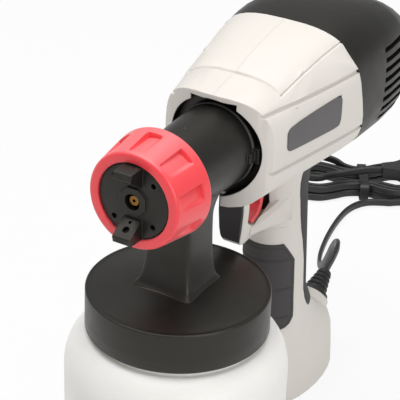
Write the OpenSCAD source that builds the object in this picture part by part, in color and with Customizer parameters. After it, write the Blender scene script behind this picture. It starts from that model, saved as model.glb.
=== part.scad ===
// Hand-held HVLP paint sprayer: turbine body with handle, spray head, paint jar and mains lead.
// Millimetres. The table is z = 0, the jar's axis is x = 0, y = 0, and the gun sprays towards -Y.

/* [Jar and lid] */
// Outer radius of the jar's belly
jar_r = 61.5; // [54:0.5:64]
// Height of the lid's rim above the table
rim_z = 132; // [120:1:150]
// Wall of the jar
jar_wall = 1.8; // [1.2:0.1:3]
// Radius of the jar's neck under the lid
jar_neck_r = 46; // [40:0.5:46.5]
// Thickness of the lid's skirt round the neck
lid_skirt = 4; // [2.5:0.1:6]
// Height of the lid's skirt
lid_h = 23; // [16:1:26]

/* [Spray head] */
// Height of the barrel's axis above the lid's rim
barrel_rise = 70.5; // [64:0.5:78]
// Barrel radius behind the cap nut
barrel_front_r = 20.5; // [19.5:0.1:21]
// Barrel radius in the body's socket
barrel_r = 23; // [22:0.1:23.5]
// Half width of the neck between lid and barrel
neck_half_w = 17.6; // [14:0.2:18]
// Radius of the needle
needle_r = 2; // [1.2:0.1:2.4]
// Needle travel at a full pull
needle_travel = 2.8; // [1.5:0.1:3.2]

/* [Cap nut and air cap] */
// Plane of the nut's front ring, in front of the jar's axis
nut_front = 46; // [44:0.5:48]
// Length of the cap nut
nut_len = 30; // [26:0.5:32]
// Outer radius of the nut's front ring
nut_front_r = 26; // [25:0.1:27]
// Outer radius of the nut's rear band
nut_rear_r = 31; // [29:0.1:32]
// Number of grip pockets round the nut
nut_pockets = 9; // [7:1:11]
// Radius of the air cap's face
cap_r = 20.2; // [19:0.1:20.4]
// Height of the air horns
horn_h = 11; // [7:0.5:14]

/* [Body] */
// Wall of the moulded shells
wall = 2.6; // [2:0.1:3.2]
// Rearmost point of the body
body_rear = 200; // [190:1:215]
// Room between the barrel and the body's underside
body_depth = 10; // [9:0.5:13]
// Half width of the trigger guard
guard_half_w = 7.5; // [6:0.25:9]
// Half depth of the handle, front to back
grip_half_d = 22; // [20:0.5:24]
// Half width of the handle
grip_half_w = 17; // [15:0.5:18.5]

/* [Trigger] */
// Angle of a full pull in degrees
trigger_angle = 8; // [5:0.5:8]
// Half width of the trigger's blade
trigger_half_w = 6; // [4:0.25:6.5]

/* [Turbine] */
// Radius of the fan
fan_r = 33; // [28:0.5:34]
// Radius of the motor's field core
field_r = 26; // [22:0.5:27]
// Number of fan blades
fan_blades = 11; // [7:1:15]

/* [Mains lead] */
// Width of the flat two-core lead
lead_w = 5.8; // [5:0.1:6.4]
// Thickness of the flat lead
lead_t = 3.2; // [2.8:0.1:3.6]
// Loops in the folded hank
hank_loops = 6; // [4:1:6]

/* [Hidden] */
$fn = 64;

// Fits
slip = 0.3;
run_fit = 0.08;

// Colours
beige = [0.86, 0.84, 0.80];
black = [0.13, 0.13, 0.12];
grip_grey = [0.24, 0.23, 0.23];
red = [0.86, 0.10, 0.13];
brass = [0.80, 0.62, 0.28];
steel = [0.72, 0.73, 0.75];
copper = [0.78, 0.42, 0.22];

// Spray head axis and stations along it
lid_r = jar_neck_r + lid_skirt;
axis_z = rim_z + barrel_rise;
thread_r = barrel_front_r + 1;
nut_rear = nut_len - nut_front;
cap_face = 1 - nut_front;
barrel_front = 8 - nut_front;
barrel_rear = 57;
socket_y = 40;
socket_len = 3.5;
neck_front = -18.7;
neck_rear = 14;
lid_dome = 5.5;
bore_r = barrel_front_r - 2.5;
tube_r = 7.5;
port_r = 5.8;
port_rise = 12;
guide_r = 5.2;
air_gap = 0.3;

// Motor axis and stations
motor_z = axis_z + 7.5;
field_y = 86;
field_len = 30;
fan_y = 132;
shaft_r = 4;

// Trigger pivot
pivot_y = 58;
pivot_z = axis_z + 20;
arm_x = barrel_r + 3;
arm_t = 3;
pin_r = 1.6;
pin_inner_x = barrel_r - 3;
slot_half_w = trigger_half_w + 0.8;
button_x = 13;
button_z = axis_z - 25.5;
button_y = 76.4;
button_travel = 1.2;
switch_y = 78.9;
switch_rear = 98;
switch_half_w = 5;
switch_low = 3.2;
switch_high = 3.8;

// Boundary between the shells and the rear cover, a plane that leans forward at the top
joint_y = 118;
joint_lean = 14;

// Body outline stations: position, then top, underside and side as room beyond the barrel's radius
BODY = [
    [24, 6.5, 0, 8.3], [34, 8.7, 0, 10], [49, 11.8, 0, 12.6], [58, 14.7, 0, 14.2],
    [69, 17.9, 0, 16], [90, 23, 0, 19.6], [110, 26, 0, 22.6], [130, 26.9, 0, 24.4],
    [150, 25.9, 0.6, 24.8], [170, 22.7, 2, 23.6], [184, 17.7, 5, 20.6], [194, 10.5, 10, 15.4],
    [200, 1.5, 17, 7]
];
// Handle stations: height, front, rear, half width
HANDLE = [
    [0, -10.5, 37, 6.5], [12, -10.5, 37, 6.3], [27, -9, 36.5, 5.6], [34, -7, 34, 4.6],
    [40, -5.5, 27, 3.4], [48, -3.5, 17, 2.2], [58, -1.5, 8, 1], [75, 0, 0, 0], [107, 0, 0, 0],
    [146, 0, 0, 0], [160, -1, 1, 1.5], [172, -4, 3, 5], [186, -8, 5, 9]
];
grip_mid = 114;
grip_rake = 0.0986;
stretch_z = 75;
function grip_y(z) = grip_mid - (z - stretch_z) * grip_rake;
// A taller or lower gun stretches its handle: heights above stretch_z go up by lift
lift = axis_z - 202.5;
function up(z) = z <= stretch_z ? z : z + lift;
function unlift(z) = z <= stretch_z ? z : max(stretch_z, z - lift);
function raised(points) = [for (p = points) [p[0], p[1] + lift]];

// Value of a table's column at a position, smoothly read between the rows
function col(t, i, p) = lookup(p, [for (r = t) [r[0], r[i]]]);
rear_share = (body_rear - joint_y) / (200 - joint_y);
function body_scale(y) = y <= joint_y ? y : joint_y + (y - joint_y) / rear_share;
function along(y) = y <= joint_y ? y : joint_y + (y - joint_y) * rear_share;
body_floor = axis_z - barrel_r - body_depth;
function body_top(y) = axis_z + barrel_r + col(BODY, 1, body_scale(y));
function body_low(y) = body_floor + col(BODY, 2, body_scale(y));
function body_half(y) = barrel_r + col(BODY, 3, body_scale(y));
pin_x = body_half(pivot_y) - 2.3;

// Half outline of the body at y, drawn in by d, from the top centre down to the bottom centre.
// A cubed superellipse with a panel line on top and two long grooves in the side, of depth g.
panel_drop = 7;
panel_y = 50;
low_groove_z = axis_z - 10.3;
function shoulder_z(y) = axis_z + 22.5 + (y - 34) * 0.047;
function panel_dent(y) = y > panel_y + 0.2 && y < panel_y + 1.6 ? 0.8 : 0;
function side_dent(y) = y > panel_y + 0.2 ? 0.8 : 0;
function angle_at(v) = v < 0 ? -asin(pow(-v, 1.5)) : asin(pow(v, 1.5));
function rim(w, h, c, a) = [w * pow(max(0, cos(a)), 2 / 3), c + sign(a) * h * pow(abs(sin(a)), 2 / 3)];
function arc(w, h, c, v0, v1, n) =
    let (a0 = angle_at(v0), a1 = angle_at(v1)) [for (i = [0:n]) rim(w, h, c, a0 + (a1 - a0) * i / n)];
function inward(p, g) = [max(0, p[0] - g), p[1] - 0.35 * g * sign(p[1] - motor_z)];
function body_half_outline(y, d, g) =
    let (t = body_top(y) - d, b = body_low(y) + d, w = body_half(y) - d, c = (t + b) / 2, h = (t - b) / 2,
         dent = panel_dent(y) * g, sg = side_dent(y) * g * 0.55, s = shoulder_z(y),
         v = [for (z = [t - panel_drop + 0.5, t - panel_drop - 0.5, s + 1.2, s - 1.2,
                        low_groove_z + 1.3, low_groove_z - 1.3]) (z - c) / h],
         top = arc(w, h, c, 1, v[0], 5),
         band = arc(w, h, c, v[1], v[2], 1), side = arc(w, h, c, v[3], v[4], 4), low = arc(w, h, c, v[5], -1, 6))
    concat(
        [for (p = top) [p[0], p[1] - dent]],
        [for (z = [0.2, -0.2]) inward(rim(w, h, c, angle_at((t - panel_drop + z - c) / h)), sg)],
        band,
        [inward([band[1][0], band[1][1] - 0.5], g), inward([side[0][0], side[0][1] + 0.5], g)],
        side,
        [inward([side[4][0], side[4][1] - 0.5], g), inward([low[0][0], low[0][1] + 0.5], g)],
        low
    );

// A closed solid through rings of points that have the same count; each end closes on a hub in its middle
module loft(rings) {
    n = len(rings[0]);
    m = len(rings);
    function hub(r) = [for (c = [0:2]) let (v = [for (p = r) p[c]]) (min(v) + max(v)) / 2];
    polyhedron(
        points = concat([for (r = rings, p = r) p], [hub(rings[0]), hub(rings[m - 1])]),
        faces = concat(
            [for (i = [0:n - 1]) [m * n, i, (i + 1) % n]],
            [for (i = [0:n - 1]) [m * n + 1, (m - 1) * n + (i + 1) % n, (m - 1) * n + i]],
            [for (k = [0:m - 2], i = [0:n - 1], h = [0, 1])
                let (a = k * n + i, b = k * n + (i + 1) % n)
                h == 0 ? [a, a + n, b] : [b, a + n, b + n]]
        ),
        convexity = 6
    );
}

// Half of the body on the +X side, drawn in by d; a positive open carries it past x = 0
module body_half_solid(stations, d, g, open) {
    loft([for (y = stations)
        let (o = body_half_outline(y, d, g), n = len(o) - 1)
        open == 0
        ? [for (p = o) [p[0], y, p[1]]]
        : concat([[-open, y, o[0][1]]], [for (p = o) [p[0], y, p[1]]], [[-open, y, o[n][1]]])]);
}

// Space inside the body on the +X side, drawn in by d and carried past x = 0, without the grooves
module hollow_half(stations, d, open) {
    loft([for (y = stations)
        let (t = body_top(y) - d, b = body_low(y) + d, w = body_half(y) - d, c = (t + b) / 2, h = (t - b) / 2)
        concat([[-open, y, t]], [for (i = [0:16]) let (p = rim(w, h, c, 90 - 11.25 * i)) [p[0], y, p[1]]],
               [[-open, y, b]])]);
}

// Quarter turns of the handle's outline at height z on the +X side, from front to rear
function handle_arc(z, d, n) =
    let (q = unlift(z), f = grip_y(z) - grip_half_d + col(HANDLE, 1, q) + d,
         r = grip_y(z) + grip_half_d + col(HANDLE, 2, q) - d,
         w = grip_half_w + col(HANDLE, 3, q) - d, c = (f + r) / 2, h = (r - f) / 2)
    [for (i = [0:n]) let (a = -90 + 180 * i / n) [w * pow(max(0, cos(a)), 0.9), c + h * sin(a)]];

module handle_half_solid(heights, d, n, open) {
    loft([for (z = heights)
        let (o = handle_arc(z, d, n))
        open == 0
        ? [for (p = o) [p[0], p[1], z]]
        : concat([[-open, o[0][1], z]], [for (p = o) [p[0], p[1], z]], [[-open, o[n][1], z]])]);
}

module handle_solid(heights, d, n) {
    loft([for (z = heights)
        let (o = handle_arc(z, d, n))
        concat([for (p = o) [p[0], p[1], z]], [for (i = [n - 1:-1:1]) [-o[i][0], o[i][1], z]])]);
}

// ---------- placing helpers ----------
// Turns a profile drawn round Z so that Z points to -Y (forward) on the barrel's axis
module on_axis(y, z) {
    translate([0, y, z]) rotate([90, 0, 0]) children();
}

// A cylinder along Y from y0 to y1
module rod_y(r, y0, y1, x, z) {
    translate([x, y1, z]) rotate([90, 0, 0]) cylinder(r = r, h = y1 - y0);
}

// A cylinder along X from x0 to x1
module rod_x(r, x0, x1, y, z) {
    translate([x0, y, z]) rotate([0, 90, 0]) cylinder(r = r, h = x1 - x0);
}

// A box given by its two corners
module block(a, b) {
    translate(a) cube([for (i = [0:2]) b[i] - a[i]]);
}

// Revolved ring along Y from a list of [y, radius] points and a bore radius
module turned(points, z) {
    translate([0, 0, z]) rotate([90, 0, 0]) rotate_extrude($fn = 96)
        polygon([for (p = points) [p[1], -p[0]]]);
}

// ---------- jar ----------
shoulder_low = rim_z - 48;
jar_corner = 13;
module jar_profile(d) {
    neck = jar_neck_r - d;
    belly = jar_r - d;
    polygon(concat(
        [[0, d], [belly - jar_corner + d, d]],
        [for (a = [-90:15:0]) [belly - jar_corner + d + (jar_corner - d) * cos(a), jar_corner + (jar_corner - d) * sin(a)]],
        [for (a = [0:7.5:82.5]) [belly - (belly - neck) * (1 - cos(a)), shoulder_low + 22 * sin(a) - d * sin(a)]],
        [[neck, shoulder_low + 22.6 - d], [neck, rim_z - 3 + 2 * d], [0, rim_z - 3 + 2 * d]]
    ));
}

module jar() {
    color([0.95, 0.95, 0.93, 0.6]) difference() {
        union() {
            rotate_extrude($fn = 96) difference() {
                jar_profile(0);
                translate([0, 0]) jar_profile(jar_wall);
            }
            // Retaining bead at the foot of the neck
            translate([0, 0, shoulder_low + 22]) ring(jar_neck_r - 0.5, jar_neck_r + 1.2, 1.6);
        }
        translate([0, 0, rim_z - 3]) cylinder(r = jar_neck_r + 5, h = 20);
    }
}

module ring(r0, r1, h) {
    difference() {
        cylinder(r = r1, h = h, $fn = 96);
        translate([0, 0, -1]) cylinder(r = r0, h = h + 2, $fn = 96);
    }
}

module lid_gasket() {
    color(grip_grey) translate([0, 0, rim_z - 3 + 0.1]) ring(jar_neck_r - 4, jar_neck_r + slip - 0.1, 1.4);
}

// ---------- spray head: lid, neck and barrel in one moulding ----------
lid_wall = 2.6;
suction_r = 4;
stub_r = 5.6;
air_x = 10;
air_y = 6;
lug_len = 4;
module lid_shape() {
    // Skirt, a small rounded rim and the domed top
    rotate_extrude($fn = 96) polygon([
        [0, rim_z + lid_dome], [12, rim_z + lid_dome], [22, rim_z + lid_dome - 0.8],
        [lid_r - 18, rim_z + lid_dome - 2.3], [lid_r - 9, rim_z + 0.9], [lid_r - 4, rim_z + 0.1],
        [lid_r - 2.2, rim_z - 0.3], [lid_r - 1.4, rim_z],
        [lid_r - 0.5, rim_z - 0.2], [lid_r - 0.05, rim_z - 1.1], [lid_r + 0.2, rim_z - lid_h],
        [jar_neck_r + slip, rim_z - lid_h],
        [jar_neck_r + slip, rim_z - 1.4], [jar_neck_r - 6, rim_z - 1.4], [30, rim_z + 0.4],
        [12, rim_z + lid_dome - 3.2], [0, rim_z + lid_dome - 3.2]
    ]);
}

module neck_shape() {
    low = rim_z + lid_dome - 3;
    // Front view and side view of the neck, crossed, with room for the nut's rear edge
    difference() {
        intersection() {
            translate([0, neck_rear + 30, 0]) rotate([90, 0, 0]) linear_extrude(height = 80)
                polygon([[-neck_half_w - 1.6, low], [neck_half_w + 1.6, low], [neck_half_w, low + 6],
                         [neck_half_w - 2.2, axis_z], [2.2 - neck_half_w, axis_z], [-neck_half_w, low + 6]]);
            translate([-40, 0, 0]) rotate([90, 0, 90]) linear_extrude(height = 80)
                polygon([[neck_front - 1.6, low], [neck_rear + 1.6, low], [neck_rear, low + 6],
                         [neck_rear - 1, axis_z], [neck_front + 3, axis_z], [neck_front, low + 6]]);
        }
        rod_y(nut_rear_r + 0.6, neck_front - 5, nut_rear + 0.4, 0, axis_z);
    }
}

module spray_head() {
    color(black) difference() {
        union() {
            lid_shape();
            neck_shape();
            // Barrel: thread for the nut, cone, socket part
            turned([[barrel_front, 0], [barrel_front, thread_r], [nut_rear - 3, thread_r], [nut_rear - 2.4, barrel_front_r],
                    [30, barrel_r], [barrel_rear, barrel_r], [barrel_rear, 0]], axis_z);
            // Bayonet lugs inside the socket and the locking lugs in front of it
            bayonet_lugs(barrel_r + 3, socket_y + socket_len + slip, lug_len, 24);
            for (s = [0, 180]) translate([0, 0, axis_z]) rotate([0, s, 0]) difference() {
                block([barrel_r - 2, 25, -5], [barrel_r + 4, socket_y - slip, 5]);
                translate([barrel_r + 2, 24, -6]) rotate([0, 0, -28]) cube([10, 14, 12]);
            }
        }
        // Air chamber of the barrel
        rod_y(bore_r, barrel_front - 1, barrel_rear - 6, 0, axis_z);
        // Needle guide in the rear wall, and the air port above it
        rod_y(guide_r, barrel_rear - 7, barrel_rear + 1, 0, axis_z);
        rod_y(port_r, barrel_rear - 7, barrel_rear + 1, 0, axis_z + port_rise);
        // Paint channel and pressure channel through the neck
        translate([0, 0, rim_z - 5]) cylinder(r = stub_r + run_fit, h = axis_z - rim_z + 5);
        translate([air_x, air_y, rim_z - 5]) cylinder(r = 1.6, h = axis_z - rim_z);
        translate([air_x, air_y, rim_z - 2]) cylinder(r = 4.2, h = 6);
        // Groove for the socket's seal
        difference() {
            rod_y(barrel_r + 1, socket_y - 8, socket_y - 5, 0, axis_z);
            rod_y(barrel_r - 1.4, socket_y - 9, socket_y - 4, 0, axis_z);
        }
    }
}

// Two lugs of a given angle round the barrel
module bayonet_lugs(r, y, len, span) {
    intersection() {
        difference() {
            rod_y(r, y, y + len, 0, axis_z);
            rod_y(barrel_r - 1, y - 1, y + len + 1, 0, axis_z);
        }
        for (s = [0, 180]) translate([0, y - 2, axis_z]) rotate([0, s, 0]) rotate([-90, 0, 0])
            linear_extrude(height = len + 4)
                polygon([[0, 0], [40, -40 * tan(span / 2)], [40, 40 * tan(span / 2)]]);
    }
}

module fluid_body() {
    color(grip_grey) difference() {
        union() {
            turned([[barrel_front + 6, 0], [barrel_front + 6, tube_r], [barrel_rear - 6 - air_gap, tube_r],
                    [barrel_rear - 6 - air_gap, 0]], axis_z);
            // Centring ribs in the air chamber
            for (a = [0:60:300]) translate([0, 0, axis_z]) rotate([0, a, 0])
                block([tube_r - 1, -20, -0.8], [bore_r - 0.1, 44, 0.8]);
            translate([0, 0, rim_z + 14]) cylinder(r = stub_r, h = axis_z - rim_z - 14);
        }
        rod_y(4.4, barrel_front + 5, 18, 0, axis_z);
        rod_y(needle_r + 0.4, barrel_front + 5, barrel_rear, 0, axis_z);
        translate([0, 0, rim_z + 13]) cylinder(r = 3, h = axis_z - rim_z - 13);
        translate([0, 0, rim_z + 13]) cylinder(r = suction_r + run_fit, h = 16);
        rod_y(4.8, 30, barrel_rear, 0, axis_z);
    }
}

module suction_tube() {
    bend_z = rim_z - 36;
    foot = [0, -26, 9];
    color([0.9, 0.9, 0.88]) difference() {
        union() {
            translate([0, 0, bend_z]) cylinder(r = suction_r, h = rim_z + 28.9 - bend_z);
            translate([0, 0, bend_z]) sphere(r = suction_r);
            tube_leg(foot, bend_z, suction_r, 0);
        }
        translate([0, 0, bend_z]) cylinder(r = suction_r - 1.2, h = 80);
        translate([0, 0, bend_z]) sphere(r = suction_r - 1.2);
        tube_leg(foot, bend_z, suction_r - 1.2, 4);
    }
}

module tube_leg(foot, z, r, extra) {
    drop = z - foot[2];
    lean = atan2(-foot[1], drop);
    translate([0, 0, z]) rotate([180 - lean, 0, 0]) cylinder(r = r, h = sqrt(drop * drop + foot[1] * foot[1]) + extra);
}

module check_valve() {
    color("white") translate([air_x, air_y, rim_z + 2.6]) cylinder(r = 4, h = 1.2);
}

module head_seal() {
    color(grip_grey) translate([0, socket_y - 6.5, axis_z]) rotate([90, 0, 0])
        rotate_extrude($fn = 96) translate([barrel_r - 0.35, 0]) circle(r = 1, $fn = 24);
}

// ---------- nozzle, needle, air cap and nut ----------
module fluid_nozzle() {
    color(brass) difference() {
        turned([[barrel_front + 6, 0], [barrel_front + 6 + 6, 0], [barrel_front + 6 + 6, 4.3], [barrel_front + 6, 4.3],
                [barrel_front + 6 - 0.1, 8], [barrel_front + 2.2, 8], [barrel_front + 1, 6.4],
                [cap_face + 3.4, 3.3], [cap_face + 0.6, 2.6], [cap_face + 0.6, 0]], axis_z);
        rod_y(needle_r + 0.5, barrel_front + 1, 0, 0, axis_z);
        rod_y(0.9, cap_face - 2, barrel_front + 3, 0, axis_z);
        on_axis(barrel_front + 1.1, axis_z) cylinder(r1 = needle_r + 0.5, r2 = 0.9, h = 4);
    }
}

needle_seat = barrel_front - 2.4;
collar_y = 65.8;
module needle() {
    color(steel) union() {
        turned([[needle_seat, 0], [needle_seat + 3.6, needle_r], [collar_y, needle_r], [collar_y, 4],
                [collar_y + 2.4, 4], [collar_y + 2.4, needle_r], [70.6, needle_r], [71.6, needle_r - 0.8], [71.6, 0]], axis_z);
        // Shoulder that the spring closes against
        rod_y(4, 33, 34.5, 0, axis_z);
    }
}

// Compression spring behind the needle's shoulder
spring_turns = 6;
module needle_spring() {
    color(steel) spring_y(3.3, 0.45, 34.6, 47, spring_turns, axis_z);
}

// A coil round Y: mean radius, wire radius, both ends, turns
module spring_y(r, w, y0, y1, turns, z) {
    translate([0, y1, z]) rotate([90, 0, 0]) coil(r, w, y1 - y0, turns);
}

// A coil round Z, eight rings to a turn and six sides
module coil(r, w, len, turns) {
    steps = turns * 8;
    loft([for (i = [0:steps])
        let (a = 360 * turns * i / steps, h = w + (len - 2 * w) * i / steps)
        [for (k = [0:5]) let (q = r + w * cos(60 * k))
            [q * cos(a), q * sin(a), h + w * sin(60 * k)]]]);
}

// A closed tube along a path that never runs straight up, with a section of [sideways, upright] points
module sweep(path, outline) {
    m = len(path);
    function unit(v) = v / norm(v);
    function tangent(i) = unit(path[min(m - 1, i + 1)] - path[max(0, i - 1)]);
    loft([for (i = [0:m - 1])
        let (t = tangent(i), s = unit(cross([0, 0, 1], t)), u = cross(t, s))
        [for (q = outline) path[i] + s * q[0] + u * q[1]]]);
}

module packing_nut() {
    color(brass) difference() {
        union() {
            rod_y(4.7, 45, barrel_rear - 6 - air_gap, 0, axis_z);
            rod_y(guide_r - 0.2, barrel_rear - 6 - air_gap, barrel_rear, 0, axis_z);
        }
        rod_y(needle_r + run_fit, 40, 70, 0, axis_z);
        rod_y(4, 44, 50, 0, axis_z);
    }
}

module air_cap() {
    color([0.17, 0.17, 0.16]) difference() {
        union() {
            turned([[cap_face, 0], [cap_face, cap_r - 0.4], [cap_face + 0.4, cap_r], [barrel_front - 2.6, cap_r],
                    [barrel_front - 2.6, thread_r + 0.1], [barrel_front - air_gap, thread_r + 0.1],
                    [barrel_front - air_gap, 0]], axis_z);
            // Raised eight-sided boss round the nozzle
            on_axis(cap_face + 0.5, axis_z) rotate([0, 0, 22.5]) cylinder(r = 8.6, h = 1.7, $fn = 8);
            for (s = [0, 180]) translate([0, 0, axis_z]) rotate([0, s, 0]) air_horn();
        }
        // Hollow behind the face, and the holes
        turned([[cap_face + 2.4, 0], [cap_face + 2.4, 9], [cap_face + 4.4, 17.5], [barrel_front + 1, 17.5],
                [barrel_front + 1, 0]], axis_z);
        rod_y(4.4, cap_face - 3, 0, 0, axis_z);
        for (a = [45:90:315]) translate([0, 0, axis_z]) rotate([0, a, 0]) rod_y(0.95, cap_face - 3, 0, 16, 0);
    }
}

// One horn above the axis: wedge whose inner face leans outwards, with two air holes
module air_horn() {
    half = 5.2;
    difference() {
        translate([-half, cap_face + 0.5, 0]) rotate([90, 0, 90]) linear_extrude(height = 2 * half)
            polygon([[0, 9], [-1.4, 9], [-horn_h, 15.4], [-horn_h + 0.8, 19.6], [0, 19.9]]);
        for (h = [[11.4, 0.6], [14.6, 1.3]]) translate([0, cap_face - 1, h[0] + 1]) rotate([58, 0, 0])
            translate([0, 0, -14]) cylinder(r = h[1], h = 24, $fn = 24);
        // Fine ribs across the horn's end
        for (i = [0:3]) block([-half - 1, cap_face - horn_h - 1, 16 + i], [half + 1, cap_face - horn_h + 0.85, 16.4 + i]);
    }
}

module cap_nut() {
    r0 = nut_front_r;
    r1 = nut_rear_r;
    slope = (r1 - r0) / nut_len;
    color(red) difference() {
        turned([[-nut_front, cap_r + 0.4], [-nut_front, r0 - 1.2], [1.2 - nut_front, r0 + 0.1],
                [nut_rear - 2, r1], [nut_rear - 0.6, r1 - 0.3], [nut_rear, r1 - 1.4], [nut_rear, r1 - 3.4],
                [nut_rear - 8, r1 - 4.8], [nut_rear - 8, thread_r + 2.1], [nut_rear, thread_r + 2.1],
                [nut_rear, thread_r + 0.55], [barrel_front - 3, thread_r + 0.55],
                [barrel_front - 3, cap_r + 0.4]], axis_z);
        // Grip pockets, each a ramp that is deep on one side and at its rear
        for (i = [0:nut_pockets - 1]) translate([0, 0, axis_z]) rotate([0, 360 * i / nut_pockets, 0])
            nut_pocket(r0, slope);
    }
}

module nut_pocket(r0, slope) {
    y0 = 3.5 - nut_front;
    y1 = nut_rear - 9.5;
    w0 = 4.2;
    w1 = 5;
    long = y1 - y0;
    translate([0, y0, r0 - 0.8 + (y0 + nut_front) * slope]) rotate([atan(slope) - 3, 0, 0]) rotate([0, -13, 0])
        linear_extrude(height = 8) polygon([[-w0, 0], [w0, 0], [w1, long], [-w1, long]]);
}

// ---------- body shells ----------
shell_stations = [24, 34, 42, 49.8, 50.4, 51.2, 51.8, 60, 69, 80, 90, 100, 110, 118, 132];
hollow_stations = [43.6, 58, 75, 92, 110, 134];
handle_heights = [for (h = [0, 12, 27, 34, 40, 48, 58, 75, 107, 146, 160, 172, 184]) up(h)];
handle_hollow = [for (h = [3, 12, 27, 40, 58, 75, 107, 146, 160, 172, 188]) up(h)];
mouth_r = barrel_r + 5;
mouth_slot = 14;
brow_r = 67;
brow_y = 27.9;
column_y0 = 53;
column_y1 = 61.5;
boot_tip = [0, 186, 49.5];
boot_lean = 30;
boot_len = 30;
boot_collar = 20;
boot_r = 9.4;
boot_neck_r = 6.2;
GRIP_FRONT = [[50, up(128)], [96, up(128)], [105.5, up(108)], [107.5, 66], [100, 57], [50, 57]];
GRIP_REAR = [[126, body_floor - 0.7], [126, up(143)], [130, up(135)], [132, 75], [128, 60], [170, 60],
             [170, body_floor - 0.7]];
inlay = 1.3;
// Shell screws: position, height, depth of the head's seat, length and radius of the boss
SCREWS = [[58.3, up(152), 4.5, 6, 2.5], [72, up(234), 26, 29.5, 4.4], [115.2, up(175.4), 20, 24, 3.6],
          [120, up(158), 7, 10.6, 4.4], [104, 50, 8.5, 12.6, 4.4], [98, 14, 7.5, 11.6, 4.4],
          [150, 16, 14, 19.6, 4.4]];
screw_r = 1.5;
screw_head_r = 2.7;
pad_t = 2.2;

// Everything behind the leaning boundary plane, moved back by d
module behind_joint(d) {
    translate([0, joint_y + d, axis_z - 2.5]) rotate([joint_lean, 0, 0]) block([-80, 0, -120], [80, 200, 120]);
}

// Everything in front of the curved front face
module before_brow() {
    difference() {
        block([-60, 0, body_floor - 60], [60, brow_y + 14, axis_z + 100]);
        translate([0, brow_y + brow_r, body_floor - 70]) cylinder(r = brow_r, h = 220, $fn = 128);
    }
}

// Guard column in front of the finger opening, and the bow that ties it to the handle
module guard_half() {
    intersection() {
        translate([-1.8, 0, 0]) rotate([90, 0, 90]) linear_extrude(height = 14) polygon(raised(concat(
            [[column_y0, 176], [column_y0, 141], [column_y0 + 1.2, 135]],
            [[column_y0 + 4, 131.4], [column_y0 + 9, 130.6], [70, 132], [92, 133], [92, 148], [84, 142.5]],
            [for (a = [0:15:90]) [66.4 - 4.9 * sin(a), 145.9 - 4.9 * cos(a)]],
            [[column_y1, 150], [column_y1, 176]])));
        translate([0, 80, 0]) rotate([90, 0, 0]) linear_extrude(height = 40)
            polygon(raised([[-3, 120], [guard_half_w - 2.2, 130], [guard_half_w - 0.8, 141], [guard_half_w, 152],
                            [guard_half_w, 180], [-3, 180]]));
    }
    // Bow widening into the handle's front
    loft([for (q = [[66, guard_half_w - 0.9, 131.6, 140.9], [76, guard_half_w + 1.6, 132, 142],
                    [86, guard_half_w + 5, 131.4, 146], [98, guard_half_w + 8.4, 130, 152]])
        let (z0 = up(q[2]), z1 = up(q[3]))
        [[-2.2, q[0], z1], [q[1] - 2, q[0], z1], [q[1], q[0], z1 - 2.5], [q[1], q[0], z0 + 2.5],
         [q[1] - 2, q[0], z0], [-2.2, q[0], z0]]]);
}

module grip_prism(outline) {
    translate([-40, 0, 0]) rotate([90, 0, 90]) linear_extrude(height = 80) polygon(outline);
}

// The handle's skin of thickness t, outside a depth d
module handle_skin(heights, d0, d1) {
    difference() {
        handle_solid(heights, d0, 14);
        handle_solid(concat([heights[0] - 1], [for (i = [1:len(heights) - 2]) heights[i]],
                            [heights[len(heights) - 1] + 1]), d1, 14);
    }
}
skin_heights = [for (h = [50, 58, 75, 107, 146, 160, 173]) up(h)];

module half_shell() {
    intersection() {
        both_sides_open();
        block([0, 0, -20], [90, 360, 400]);
    }
}

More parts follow.
